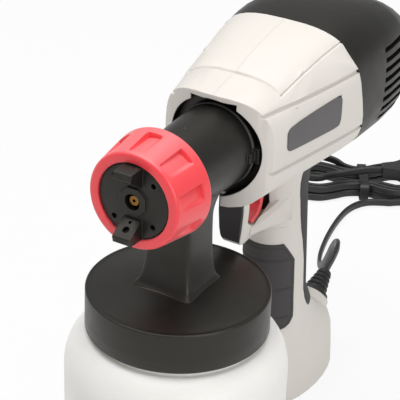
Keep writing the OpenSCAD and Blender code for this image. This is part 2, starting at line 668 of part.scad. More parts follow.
// The +X shell, carried a little past the parting plane
module both_sides_open() {
    difference() {
        union() {
            difference() {
                union() {
                    difference() {
                        body_half_solid(shell_stations, 0, 1.5, 1);
                        behind_joint(0);
                        before_brow();
                    }
                    difference() {
                        handle_half_solid(handle_heights, 0, 14, 1.4);
                        difference() {
                            behind_joint(0);
                            block([-60, 60, 0], [60, 300, body_floor - 0.4]);
                        }
                    }
                    guard_half();
                }
                hollow_half(hollow_stations, wall, 3);
                handle_half_solid(handle_hollow, wall, 10, 3.4);
            }
            // Foot's floor, socket lip, pivot boss and the motor's cradle ribs
            intersection() {
                rod_y(min(barrel_r + 8, body_half(socket_y) - 1.5), socket_y, socket_y + socket_len, 0, axis_z);
                block([-2.6, 30, axis_z - 60], [60, 60, axis_z + 60]);
            }
            intersection() {
                rod_x(4.6, arm_x + arm_t + slip, body_half(pivot_y), pivot_y, pivot_z);
                hollow_half(hollow_stations, wall - 0.6, 3);
            }
            difference() {
                for (y = [field_y + 3, field_y + field_len - 7]) cradle(y);
                behind_joint(0);
                // Pocket of the switch
                block([-2, 70, body_floor],
                      [button_x + switch_half_w + slip, 110, button_z + switch_high + slip]);
            }
            for (q = SCREWS) rod_x(q[4], -1, q[3], q[0], q[1]);
            on_boot() translate([0, 0, -34]) cylinder(r = 11, h = 34 - boot_collar - 0.1);
        }
        // Mouth with its top and bottom slots, then the lip's bore with room for the lugs
        rod_y(mouth_r, 0, socket_y, 0, axis_z);
        block([-mouth_slot, 20, axis_z], [mouth_slot, socket_y + socket_len + 2, axis_z + barrel_r + 4.5]);
        block([0.2 - guard_half_w, 20, body_floor - 9.5], [guard_half_w - 0.2, 42, body_floor + 7.1]);
        rod_y(barrel_r + slip, 30, 50, 0, axis_z);
        bayonet_entries();
        // Trigger slot in the floor and the pin's bore
        block([-slot_half_w, 71.5, up(160)], [slot_half_w, 94, body_floor + 4.5]);
        block([-slot_half_w, 66.2, up(139.4)], [slot_half_w, 94, up(168.5)]);
        rod_x(pin_r, 10, pin_x, pivot_y, pivot_z);
        for (q = SCREWS) rod_x(screw_r, -1.5, min(q[3] - 1.5, 7), q[0], q[1]);
        // Seat and bore of the strain relief, and the pad's recess on the guard
        on_boot() translate([0, 0, -boot_collar - 0.1]) cylinder(r = boot_r + 0.4, h = 30);
        on_boot() translate([0, 0, -45]) cylinder(r = boot_neck_r + 0.2, h = 30);
        block([-10, 45, up(120)], [10, column_y0 + pad_t, up(168)]);
        grip_recesses();
    }
}

module bayonet_entries() {
    translate([0, 0, axis_z]) rotate([0, 42, 0]) translate([0, 0, -axis_z]) intersection() {
        rod_y(barrel_r + 3.5, socket_y - 1, socket_y + socket_len + 1, 0, axis_z);
        for (s = [0, 180]) translate([0, socket_y - 2, axis_z]) rotate([0, s, 0]) rotate([-90, 0, 0])
            linear_extrude(height = 10) polygon([[0, 0], [40, -40 * tan(15)], [40, 40 * tan(15)]]);
    }
}

module cradle(y) {
    difference() {
        intersection() {
            rod_y(body_half(y) + 4, y, y + 2.4, 0, motor_z);
            hollow_half([60, 75, 92, 110, 125], wall - 0.4, 2);
        }
        rod_y(field_r + 4.4, y - 1, y + 4, 0, motor_z);
    }
}

module grip_recesses() {
    intersection() {
        handle_skin(skin_heights, -0.4, inlay);
        union() {
            grip_prism(GRIP_FRONT);
            grip_prism(GRIP_REAR);
        }
    }
}

module housing_left() {
    color(beige) half_shell();
}

module housing_right() {
    color(beige) difference() {
        mirror([1, 0, 0]) half_shell();
        for (q = SCREWS) {
            rod_x(screw_r + 0.1, -q[2] - 1, 1, q[0], q[1]);
            rod_x(screw_head_r + slip, -60, -q[2], q[0], q[1]);
        }
    }
}

module front_grip() {
    color(grip_grey) intersection() {
        handle_skin(skin_heights, 0, inlay - 0.12);
        grip_prism(GRIP_FRONT);
    }
}

module rear_grip() {
    color(grip_grey) intersection() {
        handle_skin(skin_heights, 0, inlay - 0.12);
        grip_prism(GRIP_REAR);
    }
}

// Frame of the strain relief: its tip at the origin, pointing out along Z
module on_boot() {
    translate(boot_tip) rotate([boot_lean - 90, 0, 0]) children();
}

module shell_screws() {
    color(steel) for (q = SCREWS) {
        rod_x(screw_r, -q[2] - 0.1, min(q[3] - 2, 6), q[0], q[1]);
        difference() {
            rod_x(screw_head_r, -q[2] - 2, -q[2], q[0], q[1]);
            for (a = [0, 90]) translate([-q[2] - 2.1, q[0], q[1]]) rotate([a, 0, 0])
                block([0, -1.9, -0.4], [1.2, 1.9, 0.4]);
        }
    }
}

// Outline of the rear cover at y, drawn in by d: the shells' superellipse without its grooves
module cover_solid(stations, d) {
    loft([for (y = stations)
        let (t = body_top(y) - d, b = body_low(y) + d, w = body_half(y) - d, c = (t + b) / 2, h = (t - b) / 2)
        [for (i = [0:31])
            let (a = 90 - 11.25 * i, u = cos(a), v = sin(a))
            [w * sign(u) * pow(abs(u), 2 / 3), y, c + h * sign(v) * pow(abs(v), 2 / 3)]]]);
}

// Black cover behind the shells, with side and rear louvres
module rear_cover() {
    color(black) difference() {
        intersection() {
            cover_solid([for (y = [100, 118, 130, 150, 170, 184, 194, 200]) along(y)], 0);
            behind_joint(0.3);
        }
        cover_solid([for (y = [90, 118, 131, 151, 171, 185, 192, 197]) along(y)], wall);
        for (i = [0:7]) let (z = axis_z - 15.4 + 6 * i) block([-70, along(141.7), z], [70, along(183.3), z + 3]);
        for (i = [0:4]) let (z = axis_z - 9.4 + 6 * i) block([-17.3, along(190), z], [17.3, body_rear + 10, z + 3]);
    }
}

module air_filter() {
    color(grip_grey) cover_solid([along(185.6), along(190)], wall + 0.5);
}

// Bare raised plate on the shell's side; its thickness follows the curved wall
module label_plate() {
    lows = [[47.6, 201.8, 214.4], [58, 201.6, 216.6], [69, 201.6, 218], [80, 201.7, 219.2], [90, 201.9, 220.2],
            [94.2, 203, 220]];
    function wall_x(y, z) = let (t = body_top(y), c = (t + body_low(y)) / 2, h = (t - body_low(y)) / 2)
        body_half(y) * pow(1 - pow(abs(z - c) / h, 3), 1 / 3);
    loft([for (q = lows) let (zs = [for (i = [0:4]) lift + q[1] + (q[2] - q[1]) * i / 4])
        concat([for (i = [4:-1:0]) [wall_x(q[0], zs[i]) + 0.55, q[0], zs[i]]],
               [for (z = zs) [wall_x(q[0], z) + 0.05, q[0], z]])]);
}

module label_plate_left() {
    color([0.33, 0.31, 0.32]) label_plate();
}

module label_plate_right() {
    color([0.33, 0.31, 0.32]) mirror([1, 0, 0]) label_plate();
}

module guard_pad() {
    color(black) intersection() {
        translate([-10, 0, 0]) rotate([90, 0, 90]) linear_extrude(height = 20)
            polygon(raised([[column_y0, 167.9], [column_y0, 141], [column_y0 + 0.5, 136.5], [column_y0 + 1.4, 134.6],
                            [column_y0 + pad_t - 0.05, 133.4], [column_y0 + pad_t - 0.05, 167.9]]));
        translate([0, 80, 0]) rotate([90, 0, 0]) linear_extrude(height = 40)
            polygon(raised([[-guard_half_w + 2.2, 130], [guard_half_w - 2.2, 130], [guard_half_w - 0.8, 141],
                            [guard_half_w, 152], [guard_half_w, 180], [-guard_half_w, 180],
                            [-guard_half_w, 152], [0.8 - guard_half_w, 141]]));
    }
}

// ---------- trigger and switch ----------
BLADE = [[63, 186.5], [71, 186.5], [71, 182], [80, 174], [80.6, 165], [80.6, 152], [79, 146.5], [75.5, 142.4],
         [70.5, 140.6], [67.8, 140.9], [67.2, 142.2], [68, 143], [71, 143.6], [74, 145.6], [76.4, 149.5],
         [77, 155], [77, 168], [75, 172.5], [66, 181], [63, 184]];
ARM = [[60.6, 200], [63, 182], [71, 182], [71, 190], [66.6, 202], [62.6, 220], [54.4, 218]];
bar_y = [60.4, 65];
module trigger() {
    color(red) difference() {
        union() {
            translate([-trigger_half_w, 0, 0]) rotate([90, 0, 90]) linear_extrude(height = 2 * trigger_half_w)
                polygon(raised(BLADE));
            for (x = [-arm_x - arm_t, arm_x]) {
                translate([x, 0, 0]) rotate([90, 0, 90]) linear_extrude(height = arm_t) polygon(raised(ARM));
                rod_x(5, x, x + arm_t, pivot_y, pivot_z);
            }
            // Bridge, the cross bar that draws the needle, and the lobe that presses the switch
            block([-arm_x - arm_t, 63, axis_z - 20.5], [arm_x + arm_t, 71, axis_z - 16]);
            block([-arm_x - 1, bar_y[0], axis_z - 4], [arm_x + 1, bar_y[1], axis_z + 3.5]);
            block([button_x - 4, 66, button_z - 2], [button_x + 4, 70.8, axis_z - 19.5]);
        }
        block([-needle_r - 0.6, 55, axis_z - 12.5], [needle_r + 0.6, 70, axis_z + needle_r + 0.3]);
        for (x = [-arm_x - arm_t - 1, arm_x - 1]) rod_x(pin_r + slip, x, x + arm_t + 2, pivot_y, pivot_z);
        // Shallow finger ribs on the blade's front
        for (z = [150:3:166]) rod_x(0.4, -trigger_half_w - 1, trigger_half_w + 1, 76.8, z + lift);
    }
}

module trigger_pins() {
    color(steel) for (s = [0, 1]) mirror([s, 0, 0]) union() {
        rod_x(pin_r, pin_inner_x, pin_x - 0.05, pivot_y, pivot_z);
        rod_x(pin_r + 0.7, pin_inner_x - 0.8, pin_inner_x + 0.2, pivot_y, pivot_z);
    }
}

module trigger_spring() {
    color(steel) translate([pin_inner_x + 0.9, pivot_y, pivot_z]) rotate([0, 90, 0]) coil(pin_r + 1.1, 0.45, 4.7, 4);
}

module switch_body() {
    color(black) difference() {
        union() {
            block([button_x - switch_half_w, switch_y, button_z - switch_low],
                  [button_x + switch_half_w, switch_rear, button_z + switch_high]);
            for (x = [-2.6, 2.6])
                block([button_x + x - 1, switch_rear - 1, button_z - 2], [button_x + x + 1, switch_rear + 1, button_z + 2]);
        }
        rod_y(2.1, switch_y - 1, switch_y + 5.5, button_x, button_z);
        for (y = [87.5, 95]) rod_x(1.2, button_x - 6, button_x + 6, y, button_z);
    }
}

module switch_button() {
    color(grip_grey) union() {
        rod_y(1.8, button_y + 0.5, button_y + 6, button_x, button_z);
        rod_y(1.4, button_y, button_y + 1, button_x, button_z);
    }
}

// ---------- air duct and motor ----------
duct_front = 59.5;
duct_z = axis_z + port_rise;
bearing_r = 8;
hub_r = 10.2;
module air_duct() {
    color(black) difference() {
        union() {
            difference() {
                union() {
                    rod_y(7, duct_front, 76, 0, duct_z);
                    turned([[75, 0], [75, 12.5], [76.5, 13.5], [84, field_r + 3.4], [86, field_r + 4.2],
                            [88.9, field_r + 4.2], [88.9, 0]], motor_z);
                }
                turned([[77, 0], [77, 12.5], [84.4, field_r + 2], [90, field_r + 2.4], [90, 0]], motor_z);
            }
            // Spider that holds the front bearing
            rod_y(hub_r, 79.5, 84, 0, motor_z);
            for (a = [45:90:315]) translate([0, 0, motor_z]) rotate([0, a, 0]) difference() {
                block([hub_r - 1, 76.5, -0.9], [field_r + 1, 81.6, 0.9]);
                translate([14, 76, -2]) rotate([0, 0, -65]) cube([30, 30, 4]);
            }
        }
        rod_y(port_r - 0.2, duct_front - 1, 78, 0, duct_z);
        rod_y(bearing_r, 80, 90, 0, motor_z);
        rod_y(5, 79, 90, 0, motor_z);
    }
}

module duct_seal() {
    color(grip_grey) difference() {
        rod_y(8, barrel_rear + slip, duct_front, 0, duct_z);
        rod_y(port_r - 0.2, barrel_rear, duct_front + 1, 0, duct_z);
    }
}

// Two wedges of a given half angle about the motor's axis, on its sides
module side_wedges(half, y0, y1) {
    for (s = [0, 180]) translate([0, y1, motor_z]) rotate([90, s, 0])
        linear_extrude(height = y1 - y0) polygon([[0, 0], [40, -40 * tan(half)], [40, 40 * tan(half)]]);
}

module tube_y(r0, r1, y0, y1, z) {
    difference() {
        rod_y(r1, y0, y1, 0, z);
        rod_y(r0, y0 - 1, y1 + 1, 0, z);
    }
}

field_bore = 15.6;
coil_in = 16.2;
coil_out = 19.8;
module motor_field() {
    color(steel) difference() {
        tube_y(field_bore, field_r, field_y, field_y + field_len, motor_z);
        intersection() {
            rod_y(coil_out + 0.4, field_y - 1, field_y + field_len + 1, 0, motor_z);
            side_wedges(40, field_y - 2, field_y + field_len + 2);
        }
        for (a = [0:90:270]) translate([0, 0, motor_z]) rotate([0, a, 0])
            rod_y(1.6, field_y - 1, field_y + field_len + 1, field_r, 0);
    }
}

module field_windings() {
    y0 = field_y - 3.8;
    y1 = field_y + field_len + 3.8;
    color(copper) union() {
        tube_y(coil_in, coil_out, y0, field_y - 0.3, motor_z);
        tube_y(coil_in, coil_out, field_y + field_len + 0.3, y1, motor_z);
        intersection() {
            tube_y(coil_in, coil_out, y0, y1, motor_z);
            side_wedges(36, y0, y1);
        }
    }
}

comm_y = 119.6;
comm_r = 8.6;
module armature() {
    core0 = field_y + 1;
    core1 = field_y + field_len - 1;
    color(steel) difference() {
        union() {
            rod_y(shaft_r - 0.1, 80.2, 142.5, 0, motor_z);
            rod_y(field_bore - 0.8, core0, core1, 0, motor_z);
            rod_y(comm_r, comm_y, comm_y + 6.4, 0, motor_z);
        }
        for (i = [0:11]) translate([0, 0, motor_z]) rotate([0, 30 * i, 0])
            block([11.5, core0 - 1, -1.2], [16, core1 + 1, 1.2]);
        for (i = [0:23]) translate([0, 0, motor_z]) rotate([0, 15 * i, 0])
            block([comm_r - 0.6, comm_y - 1, -0.15], [comm_r + 1, comm_y + 5.6, 0.15]);
    }
}

module armature_windings() {
    core0 = field_y + 1;
    core1 = field_y + field_len - 1;
    color(copper) union() {
        for (i = [0:11]) translate([0, 0, motor_z]) rotate([0, 30 * i, 0])
            block([11.6, core0 - 1.2, -1.1], [14, core1 + 1.2, 1.1]);
        turned([[core0 - 2.4, shaft_r], [core0 - 2.4, 10.5], [core0 - 1.4, 13], [core0 - 0.05, 13.6],
                [core0 - 0.05, shaft_r]], motor_z);
        turned([[core1 + 0.05, shaft_r], [core1 + 0.05, 13.6], [core1 + 2.2, 13], [core1 + 3.6, 10.5],
                [core1 + 3.6, shaft_r]], motor_z);
    }
}

module carbon_brushes() {
    color([0.2, 0.2, 0.2]) for (s = [0, 1]) mirror([s, 0, 0])
        block([comm_r + slip, comm_y + 1, motor_z - 3], [16, comm_y + 5, motor_z + 3]);
}

// Rear bracket: ring on the field, brush boxes and the spider of the rear bearing
bracket_y = field_y + field_len;
rear_hub_y = 126.8;
module motor_frame() {
    color(black) difference() {
        union() {
            tube_y(coil_out + 0.8, field_r, bracket_y, rear_hub_y + 3.4, motor_z);
            rod_y(hub_r, rear_hub_y, rear_hub_y + 4.2, 0, motor_z);
            for (a = [0, 90]) translate([0, 0, motor_z]) rotate([0, a, 0])
                block([-field_r + 1, rear_hub_y + 0.4, -3.4], [field_r - 1, rear_hub_y + 3.2, 3.4]);
            for (s = [0, 1]) mirror([s, 0, 0])
                block([11, comm_y + 0.2, motor_z - 4], [22, comm_y + 5.8, motor_z + 4]);
        }
        rod_y(bearing_r, rear_hub_y - 1, rear_hub_y + 3.4, 0, motor_z);
        rod_y(5, rear_hub_y - 1, rear_hub_y + 6, 0, motor_z);
        for (s = [0, 1]) mirror([s, 0, 0])
            block([10, comm_y + 1, motor_z - 3], [20, comm_y + 5, motor_z + 3]);
        // Air windows
        for (a = [45:90:315]) translate([0, 0, motor_z]) rotate([0, a, 0])
            block([15, bracket_y + 3, -8], [30, rear_hub_y - 1.4, 8]);
    }
}

module bearing(y) {
    color(steel) union() {
        tube_y(shaft_r, bearing_r - 0.02, y, y + 3.6, motor_z);
    }
}

module front_bearing() {
    bearing(80.2);
}

module rear_bearing() {
    bearing(rear_hub_y - 0.3);
}

module motor_rings() {
    color(grip_grey) for (y = [field_y + 3, field_y + field_len - 7])
        tube_y(field_r + 0.02, field_r + 4.3, y, y + 2.4, motor_z);
}

module fan() {
    color([0.5, 0.5, 0.5]) difference() {
        union() {
            rod_y(8.5, fan_y, fan_y + 8, 0, motor_z);
            tube_y(7, fan_r, fan_y + 6.8, fan_y + 8, motor_z);
            tube_y(fan_r - 12, fan_r, fan_y, fan_y + 1.2, motor_z);
            for (i = [0:fan_blades - 1]) translate([0, 0, motor_z]) rotate([0, 360 * i / fan_blades, 0])
                translate([7, 0, 0]) rotate([0, -14, 0]) block([0, fan_y + 0.6, -0.6], [fan_r - 8.4, fan_y + 7, 0.6]);
        }
        rod_y(shaft_r - 0.1, fan_y - 1, fan_y + 9, 0, motor_z);
    }
}

module fan_nut() {
    color(steel) difference() {
        translate([0, fan_y + 11.4, motor_z]) rotate([90, 0, 0]) cylinder(r = 6.6, h = 3.35, $fn = 6);
        rod_y(shaft_r - 0.1, fan_y + 7, fan_y + 13, 0, motor_z);
    }
}

module fan_shroud() {
    y0 = fan_y - 8;
    y1 = fan_y + 11;
    color(black) turned([[y0, field_r + slip], [y0, fan_r + 3], [y1, fan_r + 3], [y1, 15], [y1 - 1.4, 15],
                         [y1 - 1.4, fan_r + 1.6], [y0 + 1.6, fan_r + 1.6], [y0 + 1.6, field_r + slip]], motor_z);
}

// ---------- lead ----------
WIRE = [[2.4, 158.6, 33.4], [2.6, 152, 28.6], [3, 145, 22.5], [3, 140, 13], [3, 134, 11.5], [3, 127, 14], [3, 121, 26],
        [3, 118, 50], [3, 114, 90], [3.2, 110, 130], [3.6, 106, 150], [6.5, 104.4, 161], [10.4, 102.8, 169.5],
        [10.4, 101.6, 174], [10.4, 99.75, 176.4]];
wire_r = 1.1;
module lead_wires() {
    color(black) for (s = [-1, 1]) sweep(
        [for (p = WIRE) [p[2] < 155 ? s * p[0] : p[0] + (s + 1) * 2.6, p[1], up(p[2])]],
        [for (k = [0:5]) [wire_r * cos(60 * k), wire_r * sin(60 * k)]]);
}

module cord_clamp() {
    color(black) difference() {
        block([-9, 133.6, 3.05], [9, 139.8, 16]);
        for (s = [-1, 1]) block([s * 3 - 1.5, 130, 9.8], [s * 3 + 1.5, 144, 18]);
    }
}

// Tapered sleeve with flexing grooves; the lead starts square at its tip
module strain_relief() {
    color(black) on_boot() difference() {
        rotate_extrude() polygon(concat(
            [[0, -boot_len], [boot_neck_r, -boot_len], [boot_neck_r, -boot_collar], [boot_r, -boot_collar],
             [boot_r, 3 - boot_collar], [7.6, 3.6 - boot_collar]],
            [for (i = [0:3], q = [[0, 0], [0.9, 0], [0.9, 1.3], [0, 1.3]])
                [7.2 - 0.7 * i - q[0], 5.4 - boot_collar + 3.3 * i + q[1]]],
            [[4.4, -1], [3.8, 0], [0, 0]]));
        // Bore for the two cores, open at the inner end
        translate([0, 0, -boot_len - 1]) cylinder(r = 4, h = 8);
    }
}

// Half section of the flat lead, standing on edge: eight points, unit size
LEAD_SECTION = [[1, 0.5], [0.55, 1], [-0.55, 1], [-1, 0.5], [-1, -0.5], [-0.55, -1], [0.55, -1], [1, -0.5]];
HANK_SECTION = [[1, 0.6], [0, 1], [-1, 0.6], [-1, -0.6], [0, -1], [1, -0.6]];
function section(q) = [for (p = q) [p[0] * lead_t / 2, p[1] * lead_w / 2]];

// Route of the free lead from the strain relief's tip to the hank
ROUTE = [[0, 186, 49.5], [0, 191.2, 52.5], [0, 196.4, 55.2], [-1.4, 204, 56.8], [-4.6, 212, 55.8], [-9, 219.6, 52],
         [-14, 226.6, 45.5], [-18.4, 232.2, 37.6], [-22.6, 237.6, 29], [-27.2, 243.4, 19.8], [-32.4, 250.2, 11.6],
         [-38, 258.4, 5.9], [-43, 267.4, 3.6], [-47.4, 278, 3.1], [-51.4, 291, 3.1], [-55, 305, 3.1], [-58, 320, 3.1],
         [-60, 334, 3.2], [-60.6, 347.4, 3.4], [-58.6, 359.2, 3.6], [-53, 369, 3.8], [-43.8, 375.4, 3.8],
         [-38.9, 378, 3.8]];
module mains_cord() {
    color(black) sweep(ROUTE, section(LEAD_SECTION));
}

// Hank: two round lobes joined by two runs that are drawn in at the waist, wound in two layers
hank_angle = 30;
lobe_r = 14.5;
waist_r = 40;
waist_w = 4.5;
hank_step = 4.2;
lobe_x = sqrt(pow(lobe_r + waist_r, 2) - pow(waist_w + waist_r, 2));
lean = asin(lobe_x / (lobe_r + waist_r));
outermost = hank_step * hank_loops / 2;
layer_z = lead_w / 2 + 0.9;
layer_rise = lead_w + 0.6;
top_z = layer_z + 2 * layer_rise;
first_ring = 3;
last_ring = 24 * hank_loops - 2;
// Point i of 24 in a loop, moved out by s
function loop_point(i, s) =
    i < 2 ? [(waist_r - s) * sin(lean * i / 2), (waist_r - s) * cos(lean * i / 2) - waist_w - waist_r]
    : i <= 10 ? let (b = (90 + lean) * (i - 6) / 4) [lobe_x + (lobe_r + s) * cos(b), (lobe_r + s) * sin(b)]
    : i < 14 ? let (a = lean * (12 - i) / 2) [(waist_r - s) * sin(a), waist_w + waist_r - (waist_r - s) * cos(a)]
    : i <= 22 ? let (b = 180 + (90 + lean) * (i - 18) / 4) [(lobe_r + s) * cos(b) - lobe_x, (lobe_r + s) * sin(b)]
    : let (a = lean * (24 - i) / 2) [-(waist_r - s) * sin(a), (waist_r - s) * cos(a) - waist_w - waist_r];
// Inwards on the lower layer, outwards on the upper one, then over the top for the last half loop
half_way = 12 * hank_loops;
function spread(k) = k > last_ring - 8 ? spread(last_ring - 8) - 1.5 * (k - last_ring + 8) : hank_step * abs(k - half_way) / 24;
function climb(k, k0, k1) = let (u = min(1, max(0, (k - k0) / (k1 - k0)))) u * u * (3 - 2 * u);
function hank_z(k) = layer_z + layer_rise * (climb(k, half_way - 2, half_way + 2)
                     + climb(k, last_ring - 10, last_ring - 7));
hank_rings = [for (k = [first_ring:last_ring]) let (p = loop_point(k % 24, spread(k))) [p[0], p[1], hank_z(k)]];
start_dir = (hank_rings[1] - hank_rings[0]) / norm(hank_rings[1] - hank_rings[0]);
HANK_TAIL = [[-17.5, -7.7, 16.7], [-11, -6.2, 17.2], [-4, -5.9, 18.3], [3, -5.9, 19.7], [9, -5.9, 20.7],
             [13, -5.9, 21], [19, -5.9, 21]];
function flat_lead(p) = [p[0], p[1], layer_z];
HANK_PATH = concat([flat_lead(hank_rings[0] - lead_w * start_dir)], hank_rings, HANK_TAIL);

module in_hank() {
    start = HANK_PATH[0];
    r = ROUTE[len(ROUTE) - 1];
    c = cos(hank_angle);
    d = sin(hank_angle);
    translate([r[0] - c * start[0] + d * start[1], r[1] - d * start[0] - c * start[1], 0])
        rotate([0, 0, hank_angle]) children();
}

module cord_hank() {
    color(black) in_hank() sweep(HANK_PATH, section(HANK_SECTION));
}

// Least gap between turns, on the ring centres
function between(p, q) = max(norm([p[0] - q[0], p[1] - q[1]]) - lead_t, abs(p[2] - q[2]) - lead_w);
least_gap = min([for (i = [0:len(HANK_PATH) - 8], j = [i + 7:1:len(HANK_PATH) - 1]) between(HANK_PATH[i], HANK_PATH[j])]);
echo(least_gap_between_turns = least_gap);

tie_x = [1.5, 8.5];
module cord_tie() {
    near = -waist_w - outermost - lead_t / 2 - 1.4;
    far = waist_w + outermost + lead_t / 2 + 0.6;
    high = layer_z + layer_rise + lead_w / 2 + 0.2;
    color(black) in_hank() difference() {
        translate([tie_x[0], 0, 0]) rotate([90, 0, 90]) linear_extrude(height = tie_x[1] - tie_x[0])
            polygon([[near + 2, 0.05], [far - 2, 0.05], [far + 0.6, 1.4], [far + 0.6, high - 1], [far - 1.4, high + 0.7],
                     [near + 1.4, high + 0.7], [near - 0.6, high - 1], [near - 0.6, 1.4]]);
        rotate([90, 0, 90]) linear_extrude(height = 20)
            polygon([[near + 2.4, 0.7], [far - 2.4, 0.7], [far, 1.9], [far, high - 1.2], [far - 1.6, high],
                     [near + 1.6, high], [near, high - 1.2], [near, 1.9]]);
    }
}

plug_len = 37;
plug_half_w = 17.6;
plug_t = 13.7;
module at_plug() {
    last = HANK_TAIL[len(HANK_TAIL) - 1];
    in_hank() translate(last) children();
}

// Flat two-pin plug: plan shape crossed with side shape, the lead's end square at its rear
module plug() {
    color(black) at_plug() difference() {
        intersection() {
            translate([0, 0, -plug_t / 2]) linear_extrude(height = plug_t) polygon([
                [0, -4.6], [0, 4.6], [9, 6.6], [14, 9], [19, 14.5], [24, plug_half_w], [plug_len - 1, plug_half_w],
                [plug_len, plug_half_w - 1], [plug_len, 1 - plug_half_w], [plug_len - 1, -plug_half_w],
                [24, -plug_half_w], [19, -14.5], [14, -9], [9, -6.6]]);
            translate([0, 30, 0]) rotate([90, 0, 0]) linear_extrude(height = 60) polygon([
                [0, -4.4], [12, -5], [20, -plug_t / 2], [plug_len - 1, -plug_t / 2], [plug_len, 1 - plug_t / 2],
                [plug_len, plug_t / 2 - 1], [plug_len - 1, plug_t / 2], [20, plug_t / 2], [12, 5], [0, 4.4]]);
        }
        for (y = [-1, 1]) translate([plug_len - 8, y * 9.3, 0]) rotate([0, 90, 0]) cylinder(r = 2, h = 10);
    }
}

module plug_pins() {
    color(steel) at_plug() for (y = [-1, 1]) translate([plug_len - 8, y * 9.3, 0]) rotate([0, 90, 0]) {
        cylinder(r = 2, h = 26.4);
        translate([0, 0, 26.4]) cylinder(r1 = 2, r2 = 1.3, h = 0.6);
    }
}

jar();
lid_gasket();
spray_head();
fluid_body();
suction_tube();
check_valve();
head_seal();
fluid_nozzle();
needle();
needle_spring();
packing_nut();
air_cap();
cap_nut();
housing_left();
housing_right();
shell_screws();
rear_cover();
air_filter();
label_plate_left();
label_plate_right();
guard_pad();
front_grip();
rear_grip();
trigger();
trigger_pins();
trigger_spring();
switch_body();
switch_button();
air_duct();
duct_seal();
motor_field();
field_windings();
motor_frame();
armature();
armature_windings();
carbon_brushes();
front_bearing();
rear_bearing();
motor_rings();
fan();
fan_nut();
fan_shroud();
lead_wires();
strain_relief();
cord_clamp();
mains_cord();
cord_hank();
cord_tie();
plug();
plug_pins();
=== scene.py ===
"""Handheld HVLP paint sprayer: fine shapes and finishes round its packed frame.

Metres, in the frame's own axes: the table is z = 0, the jar stands on the origin and the gun sprays
towards -Y. Each operator makes one group of pieces, and main() runs them in order.
"""

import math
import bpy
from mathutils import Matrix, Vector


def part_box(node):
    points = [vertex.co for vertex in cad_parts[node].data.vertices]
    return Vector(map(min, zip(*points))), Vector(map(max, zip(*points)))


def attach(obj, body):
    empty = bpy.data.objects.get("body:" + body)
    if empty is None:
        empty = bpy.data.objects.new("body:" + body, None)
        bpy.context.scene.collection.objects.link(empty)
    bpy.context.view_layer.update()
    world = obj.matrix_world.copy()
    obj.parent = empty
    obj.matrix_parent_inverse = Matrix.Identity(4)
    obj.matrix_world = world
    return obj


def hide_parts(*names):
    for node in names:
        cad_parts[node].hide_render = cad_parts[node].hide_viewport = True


bl_info = {
    "name": "Handheld Paint Sprayer",
    "version": (1, 0, 0),
    "blender": (4, 5, 0),
    "location": "View3D > Sidebar > Sprayer",
    "description": "Fine shapes and finishes for a handheld paint sprayer, and its stage",
    "category": "Object",
}

import bmesh
import bpy
from bpy.props import FloatProperty, FloatVectorProperty, IntProperty, PointerProperty
from bpy.types import Operator, Panel, PropertyGroup
from mathutils import Matrix, Vector

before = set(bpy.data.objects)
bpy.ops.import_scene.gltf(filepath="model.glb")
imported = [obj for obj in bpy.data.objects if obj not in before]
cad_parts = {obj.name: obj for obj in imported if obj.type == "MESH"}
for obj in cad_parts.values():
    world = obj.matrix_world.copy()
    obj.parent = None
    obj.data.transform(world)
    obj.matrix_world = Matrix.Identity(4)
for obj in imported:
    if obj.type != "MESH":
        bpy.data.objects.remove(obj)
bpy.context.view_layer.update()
MM = 0.001

# Places read from the frame; the nut's rear and radius are drawn in a little from the frame's
NUT_LOW, NUT_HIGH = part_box("cap_nut")
AXIS_Z = (NUT_LOW.z + NUT_HIGH.z) / 2
NUT_FRONT, NUT_REAR = NUT_LOW.y, NUT_HIGH.y - 3.6 * MM
NUT_LENGTH = NUT_REAR - NUT_FRONT
NUT_R = (NUT_HIGH.x - NUT_LOW.x) / 2 - 1.1 * MM
HEAD_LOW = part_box("spray_head")[0]
LID_R = -HEAD_LOW.x
RIM_Z = HEAD_LOW.z + 23 * MM


# ---------- settings ----------
class SprayerFinish(PropertyGroup):
    """Colours and surface sizes of the mouldings"""

    shell: FloatVectorProperty(
        name="Shell", description="Colour of the body shells", subtype="COLOR",
        default=(0.66, 0.625, 0.58), min=0, max=1)
    black: FloatVectorProperty(
        name="Black Moulding", description="Colour of the spray head, air cap and rear cover",
        subtype="COLOR", default=(0.0075, 0.0075, 0.0068), min=0, max=1)
    red: FloatVectorProperty(
        name="Red Moulding", description="Colour of the cap nut and the trigger", subtype="COLOR",
        default=(0.80, 0.038, 0.05), min=0, max=1)
    rubber: FloatVectorProperty(
        name="Grip Rubber", description="Colour of the over-moulded grips", subtype="COLOR",
        default=(0.012, 0.0125, 0.0112), min=0, max=1)
    label: FloatVectorProperty(
        name="Label Plate", description="Colour of the bare plates", subtype="COLOR",
        default=(0.088, 0.082, 0.084), min=0, max=1)
    jar: FloatVectorProperty(
        name="Jar", description="Colour of the milky jar", subtype="COLOR",
        default=(0.96, 0.925, 0.875), min=0, max=1)
    lead: FloatVectorProperty(
        name="Lead", description="Colour of the mains lead", subtype="COLOR",
        default=(0.012, 0.012, 0.0125), min=0, max=1)
    edge: FloatProperty(
        name="Edge Radius", description="Rounding of the moulded edges", default=0.0005,
        min=0.0001, max=0.002, unit="LENGTH", subtype="DISTANCE")
    grain: FloatProperty(
        name="Grain", description="Grains of the spark texture to a metre", default=1500,
        min=200, max=5000)


